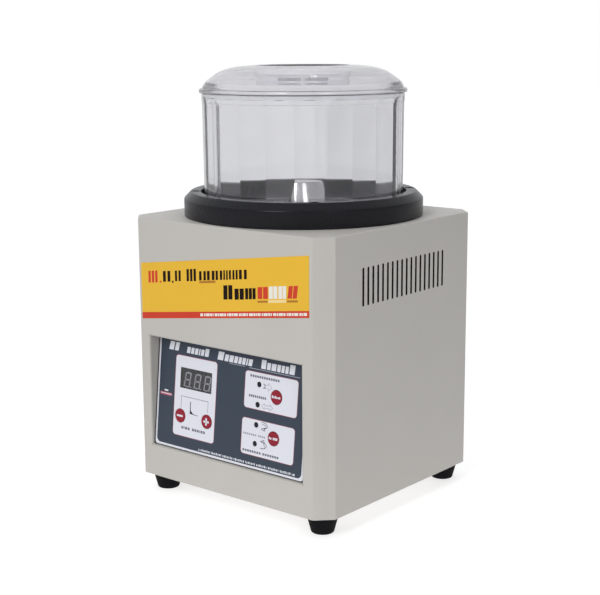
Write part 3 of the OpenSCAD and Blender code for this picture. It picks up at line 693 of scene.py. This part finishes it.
def build_bowl():
    """Round outside with a thicker rim; inside, flats that end in small arches under the rim."""
    z0 = BOWL_LO.z / MM
    steps = FACETS * 8
    outer = [(86.0, 0.0), (87.4, 0.35), (88.4, 1.4), (88.65, 3.2), (88.8, 16), (89.1, 60), (89.3, 90),
             (89.4, 96.2), (89.46, 97.0), (89.72, 97.6), (89.78, 98.4), (89.8, 102.5), (89.78, 103.9),
             (89.5, 104.7), (89.0, 105.0)]
    inner = [(87.5, 105.0), (87.0, 104.7), (MOUTH_R, 104.0)]
    flat = 86.85 * math.cos(math.pi / FACETS)
    bm = bmesh.new()
    rows = []

    def row(fn, z):
        rows.append([
            bm.verts.new((fn(a) * math.cos(a + PHASE), CY + fn(a) * math.sin(a + PHASE), z0 + z))
            for a in (2 * math.pi * i / steps for i in range(steps))
        ])

    for r, z in outer + inner:
        row(lambda a, r=r: r, z)
    zs = [101.8, 100.8, 100, 99.2, 98.4, 97.6, 96.8, 96, 95, 94, ARCH_Z, 80, 60, 40, 20, FLOOR_T + FILLET]
    for z in zs:
        t = min(max((z - ARCH_Z) / 8.8, 0), 1)
        d = flat + (MOUTH_R - flat) * (1 - math.sqrt(max(0.0, 1 - t * t)))

        def fn(a, d=d):
            local = (a % (2 * math.pi / FACETS)) - math.pi / FACETS
            return min(MOUTH_R, d / math.cos(local))

        row(fn, z)
    for i in range(1, 9):
        q = math.pi / 2 * i / 8
        dr, z = FILLET * (1 - math.cos(q)), FLOOR_T + FILLET * (1 - math.sin(q))

        def fn(a, dr=dr):
            local = (a % (2 * math.pi / FACETS)) - math.pi / FACETS
            return flat / math.cos(local) - dr

        row(fn, z)
    for r in (70, 40):
        row(lambda a, r=r: r, FLOOR_T)
    for a, b in zip(rows, rows[1:]):
        for i in range(steps):
            j = (i + 1) % steps
            bm.faces.new((a[i], a[j], b[j], b[i]))
    bm.faces.new(rows[-1])
    bm.faces.new(list(reversed(rows[0])))
    for f in bm.faces:
        r = max(math.hypot(v.co.x, v.co.y - CY) for v in f.verts)
        z = max(v.co.z for v in f.verts) - z0
        inside = r < 87.01 and z > 2.1
        if inside and z < FLATS_TOP:
            f.material_index = 2 if z < 2.3 else 4 if z < LOW_FLATS else 1
        else:
            f.material_index = 3 if z < FOOT_BAND else 0
    looks = [M[k] for k in ("clear", "facets", "floor", "foot", "low_facets")]
    ob = finish_mesh("clear_bowl", bm, looks, "bowl", ["bowl"], smooth=0)
    me = ob.data
    for p in me.polygons:
        p.use_smooth = True
    me.set_sharp_from_angle(angle=math.radians(11))
    return ob


build_bowl()


def build_post():
    """A steel cone on the bowl's floor, with a thin flange."""
    z0 = BOWL_LO.z / MM + FLOOR_T
    prof = rounded([(0.01, 0, 0), (18, 0, 0.2), (18, 1.3, 0.5), (12.4, 24.2, 1.4), (0.01, 24.2, 0)], 7)
    prof = [(p.x, p.y) for p in prof]
    prof[0] = (0, prof[0][1])
    prof[-1] = (0, prof[-1][1])
    bm = lathe(prof, 96, (0, CY), z0)
    finish_mesh("bowl_centre_post", bm, M["stainless"], "bowl", ["bowl_post"], smooth=35)


build_post()


def smooth_curve(pts, n=5):
    """A curve through the points."""
    out = []
    k = len(pts)
    for i in range(k - 1):
        p0 = Vector(pts[max(i - 1, 0)])
        p1, p2 = Vector(pts[i]), Vector(pts[i + 1])
        p3 = Vector(pts[min(i + 2, k - 1)])
        for j in range(n):
            t = j / n
            out.append(0.5 * (2 * p1 + (p2 - p0) * t + (2 * p0 - 5 * p1 + 4 * p2 - p3) * t * t
                              + (3 * p1 - p0 - 3 * p2 + p3) * t ** 3))
    out.append(Vector(pts[-1]))
    return [(p.x, p.y) for p in out]


WALL = 2.2                                 # thickness of the lid's dome
GRIP_TURN = math.radians(39.7)             # the grip lies square to the viewer
FROST = 12.2                               # the grip is frosted below this height


def build_lid():
    """A dome with a finger well in its middle, a brim, and a plug that sits in the bowl's mouth."""
    z0 = BOWL_HI.z / MM
    outer = [(86.4, 0.0), (91.1, 0.0)]
    outer += [(91.8, 0.25), (92.08, 0.9), (92.1, 1.8), (92.0, 2.7), (91.5, 3.4), (90.6, 3.7)]
    dome = smooth_curve([(89.4, 4.1), (88.3, 6.2), (86.7, 8.8), (83.8, 11.5), (80.2, 13.9), (76.4, 16.6),
                         (72.0, 18.9), (66, 20.8), (58, 22.3), (50, 23.1), (45, 23.36), (43.2, 23.38)], 4)
    outer += dome
    under = []                             # the dome's own wall, the same thickness all over
    for a, p, b in zip(dome[8:], dome[9:], dome[10:]):
        d = math.hypot(b[0] - a[0], b[1] - a[1])
        under.append((p[0] - WALL * (b[1] - a[1]) / d, p[1] + WALL * (b[0] - a[0]) / d))
    outer += [(42.3, 23.1), (41.6, 22.3), (41.2, 21.0)]
    outer += smooth_curve([(40.2, 15), (38.7, 7.6), (38.1, 6.1), (37.0, 5.4), (35, 5.3)], 3)
    outer += [(14, 5.3), (0, 5.3)]
    inner = [(0, 4.1), (14, 4.1), (36.8, 4.1)]
    inner += smooth_curve([(38.6, 4.5), (39.7, 6.0), (41.3, 12), (42.8, 19.0), (43.8, 20.8),
                           (46, 21.05)], 3)
    inner += [q for q in reversed(under) if q[0] > 48]
    inner += [(84.9, 4.6), (84.6, 3.0), (84.6, 0), (84.6, -3.6), (84.9, -4.0), (86.1, -4.0), (86.4, -3.6)]
    bm = lathe(outer + inner, 200, (0, CY), z0)
    for f in bm.faces:
        c = f.calc_center_median()
        r, z = math.hypot(c.x, c.y - CY), c.z - z0
        # brim and well-corner faces take the dark tint: painted shade lines
        brim = r > 88 and z < 0.9
        corner = 36.0 < r < 38.9 and z < 4.6
        f.material_index = 1 if brim or corner else 0
    finish_mesh("clear_lid_shell", bm, [M["lid"], M["lid_edge"]], "lid", ["lid"], smooth=35)
    # the finger grip that stands in the well, its ends leaning in
    gb = bmesh.new()
    turn = Matrix.Translation((0, CY, z0)) @ Matrix.Rotation(GRIP_TURN, 4, "Z")
    rows = []
    sections = (                           # height, half length, half thickness
        (5.25, 23.4, 5.2), (6.0, 22.7, 4.7), (9, 22.1, 4.3), (FROST, 21.6, 4.0),
        (13.6, 21.4, 3.8), (15.2, 21.0, 3.5), (16.0, 20.2, 2.8), (16.2, 19.0, 1.7),
    )
    for z, half, thick in sections:
        r = min(thick * 0.8, 2.4)
        pts = rounded([(-half, -thick, r), (half, -thick, r), (half, thick, r), (-half, thick, r)], 6)
        rows.append([turn @ Vector((p.x, p.y, z)) for p in pts])
    gb, vs = loops(rows, gb, closed=False)
    gb.faces.new(vs[-1])
    gb.faces.new(list(reversed(vs[0])))
    for f in gb.faces:
        f.material_index = 1 if f.calc_center_median().z - z0 < FROST else 0
    finish_mesh("lid_grip", gb, [M["lid"], M["grip"]], "lid", smooth=40)


build_lid()

# ---------- control panel ----------


class Print:
    """Flat printed shapes on one plane, one mesh, one material slot for each ink."""

    def __init__(self, name, inks, place, level, step=0.02):
        self.name, self.inks, self.place = name, inks, place
        self.bm, self.level, self.step = bmesh.new(), level, step

    def add(self, ink, outline, layer=1):
        """layer counts upwards from the surface."""
        y1 = self.level - self.step * layer
        prism(self.bm, outline, self.level + 0.005, y1, self.place, self.inks.index(ink))

    def many(self, ink, outlines, layer=1):
        for o in outlines:
            self.add(ink, o, layer)

    def done(self, body="cabinet"):
        return finish_mesh(self.name, self.bm, [M[i] for i in self.inks], body, smooth=0)


def blocks(p, ink, x, base, marks, tall, lean=0.0, layer=2):
    """A row of plain blocks that stands in for a line of lettering.

    marks are (width, share of the full height, gap after).
    """
    for w, share, gap in marks:
        h = tall * share
        k = lean * h
        p.add(ink, [(x, base), (x + w, base), (x + w + k, base + h), (x + k, base + h)], layer)
        x += w + gap
    return x


KEYS = {"minus": (-56.5, 30.9), "plus": (-24.2, 31.0), "select": (54.0, 66.1), "run": (53.3, 30.6)}
LAMPS = [(34.2, 73.9), (33.6, 56.4), (33.3, 38.9), (32.9, 22.5)]
DISPLAY = (-39.4, 65.5, 38.0, 18.5)
WHITE_FIELDS = [(-64.8, 13.0, -14.8, 85.2), (18.3, 52.2, 76.9, 84.0), (17.4, 12.0, 76.0, 43.3)]
KEY_R = 6.1


def pierce(ob, holes, windows=()):
    """Cuts round holes and windows through a panel sheet."""
    cb = bmesh.new()
    for x, z, r in holes:
        prism(cb, circle(x, z, r, 40), 4, -4, PANEL)
    for x0, z0, x1, z1 in windows:
        prism(cb, rect(x0, z0, x1, z1, 0.4, 3), 4, -4, PANEL)
    cutter = finish_mesh("cutter", cb, M["case"], None, smooth=0)
    return cut(ob, cutter)


def build_panel():
    """Steel plate, white film and its navy field, all cut for the keys, lamps and display."""
    w = OPEN_W / 2
    length = 100.4
    holes = [(x, z, KEY_R + 0.3) for x, z in KEYS.values()] + [(x, z, 2.45) for x, z in LAMPS]
    dx, dz, dw, dh = DISPLAY
    win = [(dx - dw / 2, dz - dh / 2, dx + dw / 2, dz + dh / 2)]
    bm = bmesh.new()
    prism(bm, rect(-w + 0.3, 0.05, w - 0.3, length, 1.0), 2, 0, PANEL)
    # the plate takes the near-black material: painted shade seen through the film's holes
    plate = finish_mesh("control_plate_sheet", bm, M["inside"], "cabinet", ["control_plate"], smooth=30)
    pierce(plate, holes, [(dx - 19.2, dz - 9.8, dx + 19.2, dz + 9.8)])
    # the film is white; the navy field is printed on it and leaves a white edge
    bm = bmesh.new()
    prism(bm, rect(-w + 1.7, 0.6, w - 0.8, length - 0.6, 2.6, 8), 0, -0.4, PANEL, soft=0.15)
    navy = [
        (-w + 3.6, length - 0.7, 0), (-w + 3.6, 2.6, 4.5), (w - 2.4, 2.6, 4.5), (w - 2.4, length - 0.7, 0),
    ]
    film = finish_mesh("panel_film", bm, M["white"], "cabinet", ["overlay"], smooth=30)
    pierce(film, holes, win)
    field = bmesh.new()
    prism(field, [tuple(p) for p in rounded(navy, 8)], -0.39, -0.415, PANEL)
    field = finish_mesh("panel_navy", field, M["navy"], "cabinet", smooth=0)
    pierce(field, holes, win)
    boxes = bmesh.new()
    for x0, z0, x1, z1 in WHITE_FIELDS:
        prism(boxes, rect(x0, z0, x1, z1, 3, 6), -0.39, -0.435, PANEL)
    boxes = finish_mesh("panel_white_fields", boxes, M["white"], "cabinet", smooth=0)
    pierce(boxes, holes, win)


build_panel()


def arc(cx, cz, r, a0, a1, n=10, squash=1.0):
    """Points along part of a circle, in degrees; squash flattens it."""
    return [(cx + r * math.cos(math.radians(a0 + (a1 - a0) * i / n)),
             cz + squash * r * math.sin(math.radians(a0 + (a1 - a0) * i / n))) for i in range(n + 1)]


def build_print():
    """Plain blocks, arrows and outlines in place of the film's wording."""
    p = Print("panel_print", ["white", "ink", "grey_ink", "soft_ink", "pink"], PANEL, -0.435, 0.012)
    for x0, z0, x1, z1 in WHITE_FIELDS:
        p.many("pink", stroke(rect(x0 - 0.1, z0 - 0.1, x1 + 0.1, z1 + 0.1, 3, 6), 0.4, True), 1)
    # heading: blocks in place of lettering
    blocks(p, "white", -74.3, 88.6, [(5.6, 1.0, 1.4), (4.6, 1.0, 0)], 7.6, 0.22)
    blocks(p, "white", -52.3, 88.3, [(4.0, 0.8, 1.0), (3.6, 0.8, 1.0), (3.8, 0.8, 1.0), (1.6, 0.8, 1.0),
                                     (3.6, 0.8, 1.1), (4.6, 1.0, 0)], 7.0, 0.16)
    blocks(p, "white", -15.2, 88.0, [
        (6.6, 1.0, 1.6), (4.4, 0.8, 1.0), (4.6, 0.8, 1.0), (4.0, 0.8, 1.0),
        (3.4, 0.8, 0.9), (3.6, 0.8, 1.0), (1.6, 0.8, 1.0), (4.2, 0.8, 0),
    ], 7.4, 0.2)
    blocks(p, "white", 35.2, 87.8, [(5.2, 1.0, 1.2), (4.0, 0.78, 1.0), (5.2, 0.78, 1.0), (3.8, 0.78, 1.0),
                                    (3.2, 0.78, 1.0), (3.4, 0.78, 1.1), (5.6, 1.05, 0)], 7.8, 0.1)
    p.add("soft_ink", rect(-1.0, 86.6, 17.2, 87.1), 2)
    p.add("soft_ink", rect(22.0, 86.2, 78.2, 86.8), 2)
    # small marks at the left edge
    p.add("white", rect(-77.6, 50.2, -72.9, 51.6), 2)
    p.add("pink", rect(-82.6, 46.3, -68.2, 49.2), 1)
    p.add("white", rect(-82.2, 47.6, -68.6, 48.3), 2)
    # foot line of fine blocks
    x = -32.0
    i = 0
    while x < 78:
        w = (0.9, 1.2, 0.8, 1.4, 0.7)[i % 5]
        p.add("white", rect(x, 3.7, x + w, 5.3 + 0.2 * (i % 3)), 2)
        x += w + (0.75 if i % 7 else 1.6)
        i += 1
    # frame, curve and caption of the time field
    p.many("grey_ink", stroke([(-56.1, 38.0), (-56.1, 48.9), (-23.5, 48.9), (-23.5, 39.4)], 0.45), 2)
    p.many("ink", stroke([(-44.6, 45.0), (-44.5, 38.5), (-44.0, 36.2)], 0.9), 2)
    p.many("ink", [[(-45.1, 40.5), (-43.9, 37.5), (-41.6, 35.3), (-37.6, 34.2), (-44.9, 34.4)]], 2)
    p.many("grey_ink", stroke([(-41.6, 34.8), (-38.5, 34.2), (-35.2, 34.3)], 0.5), 2)
    blocks(p, "grey_ink", -54.4, 19.6, [
        (2.2, 1, 0.7), (0.9, 1, 0.7), (2.8, 1, 0.7), (2.2, 1, 3.0), (2.3, 1, 0.7),
        (2.2, 1, 0.7), (2.2, 1, 0.7), (0.9, 1, 0.7), (2.3, 1, 0.7), (2.3, 1, 0),
    ], 2.3)
    # captions of the four lamps
    blocks(p, "grey_ink", 23.8, 79.3, [(1.9, 1, 0.65)] * 13, 2.0)
    blocks(p, "grey_ink", 23.4, 62.0, [(1.6, 1, 0.6)] * 9, 2.1)
    blocks(p, "soft_ink", 19.2, 29.0, [(1.6, 1, 0.6)] * 7 + [(0.1, 1, 1.4)] + [(1.5, 1, 0.6)] * 4, 1.6)
    blocks(p, "grey_ink", 19.4, 14.3, [(2.0, 1, 0.65)] * 8 + [(0.1, 1, 1.4)] + [(2.0, 1, 0.65)] * 7, 1.9)
    # one-way and two-way arrows
    p.many("grey_ink", stroke([(39.0, 75.0), (40.6, 75.0), (40.6, 71.6), (39.0, 71.6)], 0.6), 2)
    one_way = [(41.2, 74.6), (44.6, 74.6), (44.6, 76.4), (48.6, 73.2), (44.6, 70.0), (44.6, 71.8),
               (41.2, 71.8)]
    both_ways = [(38.4, 56.2), (41.2, 58.7), (41.2, 57.4), (47.4, 57.4), (47.4, 58.7), (50.6, 56.2),
                 (47.4, 53.7), (47.4, 55.0), (41.2, 55.0), (41.2, 53.7)]
    p.many("soft_ink", stroke(one_way, 0.35, True), 2)
    p.many("soft_ink", stroke(both_ways, 0.4, True), 2)
    # turning arrows, clockwise and the other way
    for zc, s in ((39.6, 1), (22.6, -1)):
        top = arc(40.6, zc, 5.4, 100, -70, 12, 0.52)
        low = arc(40.6, zc - 1.0 * s, 4.0, 95, -60, 12, 0.5)
        if s < 0:
            top = [(x, 2 * zc - z) for x, z in top]
            low = [(x, 2 * zc - z) for x, z in low]
        p.many("ink", stroke(top, 0.42), 2)
        p.many("ink", stroke(low, 0.36), 2)
        tip = -s * 3.2
        barb = [(39.4, zc + tip), (43.4, zc + tip + 1.4 * s), (43.0, zc + tip - 1.2 * s)]
        p.many("ink", stroke(barb, 0.5, True), 2)
    p.done()


build_print()


def build_keys():
    """Round caps with a flange and stem behind the film, and the mark on each."""
    select = ((-4.6, 0.3), (-3.0, -0.3), (-1.4, 0.4), (0.2, -0.3), (1.8, -0.3), (3.4, 0.2))
    run = ((-4.7, 0.2), (-3.0, -0.3), (-0.2, 0.2), (1.6, 0.3), (3.3, 0.3))
    marks = {
        "minus": [rect(-3.7, -0.85, 3.7, 0.85, 0.3, 3)],
        "plus": [rect(-3.3, -0.9, 3.3, 0.9, 0.2, 2), rect(-0.9, -3.3, 0.9, 3.3, 0.2, 2)],
        "select": [rect(x, -0.95, x + 1.25, 0.95 + d, 0.2, 2) for x, d in select],
        "run": [rect(x, -0.95, x + 1.4, 0.95 + d, 0.2, 2) for x, d in run],
    }
    for name, (x, z) in KEYS.items():
        prof = rounded([
            (0.01, -3.3, 0), (7.2, -3.3, 0.2), (7.2, -2.3, 0.2), (KEY_R, -2.3, 0),
            (KEY_R, 0.85, 0.5), (5.2, 1.05, 1.5), (0.01, 0.92, 0),
        ], 5)
        prof = [(p.x, p.y) for p in prof]
        prof = [(0, -7.9), (1.6, -7.9), (1.6, -3.3)] + prof[1:-1] + [(0, 0.92)]
        bm = bmesh.new()
        place = PANEL @ Matrix.Translation((x, 0, z)) @ Matrix.Rotation(math.pi / 2, 4, "X")
        lathe(prof, 64, (0, 0), 0, bm)
        bmesh.ops.transform(bm, matrix=place, verts=bm.verts)
        body = name + "_key"
        finish_mesh("key_cap_" + name, bm, M["key"], body, ["key_" + name], smooth=35)
        mk = Print("key_mark_" + name, ["white"], PANEL @ Matrix.Translation((x, 0, z)), -0.86, 0.2)
        mk.many("white", marks[name], 1)
        mk.done(body)


build_keys()


def build_display():
    """The bezel round the display's window, an edge that catches light."""
    bm = bmesh.new()
    dx, dz, dw, dh = DISPLAY
    rows = []
    for inset, y in ((0.05, -0.4), (0.05, 2.05), (0.9, 2.05), (0.9, -0.15), (0.6, -0.38)):
        w, h = dw / 2 - inset, dh / 2 - inset
        rows.append([PANEL @ Vector((x, y, z)) for x, z in rect(dx - w, dz - h, dx + w, dz + h)])
    bm = loops(rows)[0]
    finish_mesh("display_bezel", bm, M["plastic"], "cabinet", smooth=0)


build_display()

# ---------- front label ----------


def build_label():
    """A yellow label whose upper and lower edges rise to the right, with bars in place of its wording."""
    x = 96.5                               # half its width
    rise = 25.9                            # from its left end to its right end
    foot, head = TOP - 91.0, TOP - 40.5    # heights at its left end
    band = 5.7                             # red band along the lower edge

    bm = bmesh.new()
    outline = [(-x, foot), (x, TOP - 65.1), (x, TOP - 14.6), (-x, head)]
    prism(bm, outline, FRONT + 0.02, FRONT - 0.2)
    finish_mesh("label_base", bm, M["yellow"], "cabinet", ["label"], smooth=0)
    inks = ["red", "brown", "black_ink", "label_white", "cream"]
    p = Print("label_print", inks, Matrix.Identity(4), FRONT - 0.2, 0.03)

    def low(px):
        return foot + (px + x) * rise / (2 * x)

    p.add("red", [(-x, low(-x)), (x, low(x)), (x, low(x) + band), (-x, low(-x) + band)], 1)
    # fine light blocks along the red band
    q = -24.5
    i = 0
    while q < 91:
        w = (3.2, 1.6, 4.4, 2.2, 1.2)[i % 5]
        z, end = low(q) + 1.7, low(q + w)
        p.add("label_white", [(q, z), (q + w, end + 1.7), (q + w, end + 4.1), (q, z + 2.4)], 2)
        q += w + (0.6 if i % 4 else 1.3)
        i += 1

    def mark(ink, x0, x1, z0, tall, lean=0.0, slits=0, share=0.3):
        """A block that follows the label's slope, cut by upright slits; z0 is from the top sheet."""
        k = rise / (2 * x)
        s = lean * tall
        bars = slits + 1
        w = (x1 - x0) / (bars + slits * share)
        for i in range(bars):
            a = x0 + i * w * (1 + share)
            b = a + w
            za, zb = TOP + z0 + (a - x0) * k, TOP + z0 + (b - x0) * k
            p.add(ink, [(a, za), (b, zb), (b + s, zb + tall), (a + s, za + tall)], 2)

    # first line
    mark("red", -87.4, -76.0, -57.4, 10.6, 0, 2, 0.5)
    mark("red", -73.2, -71.3, -55.8, 1.7)
    mark("black_ink", -69.0, -60.0, -54.6, 9.6, 0, 1, 0.6)
    mark("black_ink", -58.0, -56.2, -54.2, 1.8)
    mark("black_ink", -54.2, -47.2, -52.4, 9.4, 0, 1, 0.7)
    mark("black_ink", -40.0, -28.8, -50.8, 10.6, 0, 2, 0.5)
    for x0, w, slits in ((-25.0, 8.0, 1), (-15.6, 8.6, 1), (-5.6, 7.6, 1), (3.4, 5.0, 1), (9.8, 6.2, 1),
                         (17.4, 2.2, 0), (21.2, 8.6, 1)):
        mark("black_ink", x0, x0 + w, -48.4 + (x0 + 25) * 0.134, 8.0, 0, slits, 0.8)
    mark("brown", -25.0, -6.0, -50.8, 1.9)
    # second line
    mark("black_ink", 3.1, 13.4, -61.6, 12.2, 0, 1, 0.22)
    mark("black_ink", 15.8, 26.2, -60.2, 9.4, 0, 1, 0.22)
    mark("black_ink", 27.8, 39.4, -58.4, 9.4, 0, 2, 0.22)
    mark("red", 41.6, 52.8, -56.4, 10.0, 0, 1, 0.18)
    mark("label_white", 54.0, 63.0, -54.8, 10.4, 0, 1, 0.18)
    mark("label_white", 64.4, 72.4, -53.4, 10.4, 0, 1, 0.18)
    mark("red", 73.8, 83.6, -52.2, 10.6, 0.14, 1, 0.18)
    mark("brown", 41.4, 52.6, -59.6, 1.7)
    mark("cream", 53.2, 72.4, -58.2, 2.3)
    mark("brown", 73.2, 84.6, -55.4, 1.7)
    p.done()


build_label()

# ---------- light, floor, air ----------

ROOM_NEAR, ROOM_FAR = 0.13, 0.86           # what lights the object
SEEN_LEFT, SEEN_RIGHT = 0.74, 0.58         # what is seen through the clear parts
FLOOR_GLOW = 0.68                          # keeps the floor white; it lights the object less than that
FLOOR_FILL, FLOOR_POOL = 0.30, 0.42


def world():
    """White behind the object; the room that lights it is bright above and behind, and dim in front."""
    w = bpy.data.worlds.new("studio")
    bpy.context.scene.world = w
    w.use_nodes = True
    t = w.node_tree
    link = t.links.new
    room = t.nodes["Background"]
    backdrop = t.nodes.new("ShaderNodeBackground")
    through = t.nodes.new("ShaderNodeBackground")
    co = t.nodes.new("ShaderNodeTexCoord").outputs["Generated"]

    def ramp(axis, a, b, lo, hi):
        dot = t.nodes.new("ShaderNodeVectorMath")
        dot.operation = "DOT_PRODUCT"
        dot.inputs[1].default_value = axis
        link(co, dot.inputs[0])
        r = t.nodes.new("ShaderNodeMapRange")
        r.interpolation_type = "SMOOTHSTEP"
        for k, v in zip(("From Min", "From Max", "To Min", "To Max"), (a, b, lo, hi)):
            r.inputs[k].default_value = v
        link(dot.outputs["Value"], r.inputs["Value"])
        return r.outputs["Result"]

    link(ramp((-0.50, 0.50, 0.707), -0.15, 0.75, ROOM_NEAR, ROOM_FAR), room.inputs["Strength"])
    room.inputs["Color"].default_value = (0.97, 0.98, 1.0, 1)
    backdrop.inputs["Color"].default_value = (1, 1, 1, 1)
    link(ramp((0.769, 0.639, 0), -0.08, 0.3, SEEN_LEFT, SEEN_RIGHT), through.inputs["Strength"])
    through.inputs["Color"].default_value = (0.985, 0.98, 1.0, 1)
    path = t.nodes.new("ShaderNodeLightPath")

    def choose(ray, other, chosen):
        mix = t.nodes.new("ShaderNodeMixShader")
        for i, socket in enumerate((path.outputs[ray], other.outputs[0], chosen.outputs[0])):
            link(socket, mix.inputs[i])
        return mix

    whole = choose("Is Camera Ray", choose("Is Transmission Ray", room, through), backdrop)
    link(whole.outputs[0], t.nodes["World Output"].inputs["Surface"])


def lamp(name, place, target, size, power, color=(1, 1, 1)):
    """A soft rectangular light aimed at a point."""
    data = bpy.data.lights.new(name, "AREA")
    data.shape = "RECTANGLE"
    data.size, data.size_y = size
    data.energy = power
    data.color = color
    ob = bpy.data.objects.new(name, data)
    bpy.context.scene.collection.objects.link(ob)
    ob.location = place
    ob.rotation_euler = (Vector(target) - Vector(place)).to_track_quat("-Z", "Y").to_euler()


def stage():
    """White paper floor; its glow depends on the kind of ray that meets it."""
    bm = bmesh.new()
    half = 9.0                             # metres
    vs = [bm.verts.new((x, y, 0)) for x, y in rect(-half, -half, half, half)]
    bm.faces.new(vs)
    me = bpy.data.meshes.new("floor")
    bm.to_mesh(me)
    bm.free()
    ob = bpy.data.objects.new("floor", me)
    bpy.context.scene.collection.objects.link(ob)
    paper = Mat("floor_paper", (0.5, 0.5, 0.5), 0.75, Specular_IOR_Level=0.2, Emission_Color=(1, 1, 1, 1))
    grain = paper.noise(60, 3, 0.5)
    paper.to(paper.span(grain, 0.7, 0.8), "Roughness")
    paper.bump((grain, 0.02, 0.0001))
    sep = paper.node("ShaderNodeSeparateXYZ")
    paper.t.links.new(paper.co, sep.inputs[0])
    across = paper.math("ADD", paper.math("MULTIPLY", sep.outputs["X"], 0.769),
                        paper.math("MULTIPLY", sep.outputs["Y"], 0.639))
    seen = paper.span(across, SEEN_LEFT - 0.33, SEEN_RIGHT - 0.33, -0.2, 0.9)
    path = paper.node("ShaderNodeLightPath")
    glow = paper.math("MULTIPLY", path.outputs["Is Camera Ray"], FLOOR_GLOW)
    near = paper.node("ShaderNodeVectorMath", operation="LENGTH")
    paper.t.links.new(paper.co, near.inputs[0])
    pool = paper.span(near.outputs["Value"], FLOOR_FILL + FLOOR_POOL, FLOOR_FILL, 0.15, 0.9)
    fill = paper.math("MULTIPLY", path.outputs["Is Diffuse Ray"], pool)
    gloss = paper.math("MULTIPLY", path.outputs["Is Glossy Ray"], FLOOR_FILL)
    clear_view = paper.math("MULTIPLY", path.outputs["Is Transmission Ray"], seen)
    total = paper.math("ADD", paper.math("ADD", glow, fill), paper.math("MAXIMUM", gloss, clear_view))
    paper.to(total, "Emission Strength")
    me.materials.append(paper.m)


world()
lamp("key_light", (0.31, -1.75, 1.38), (0, 0, 0.2), (0.6, 0.8), 16.6)
lamp("right_light", (1.63, -0.76, 0.95), (0, 0, 0.25), (0.5, 0.7), 3.4)
stage()
bpy.context.scene.view_settings.view_transform = "Standard"
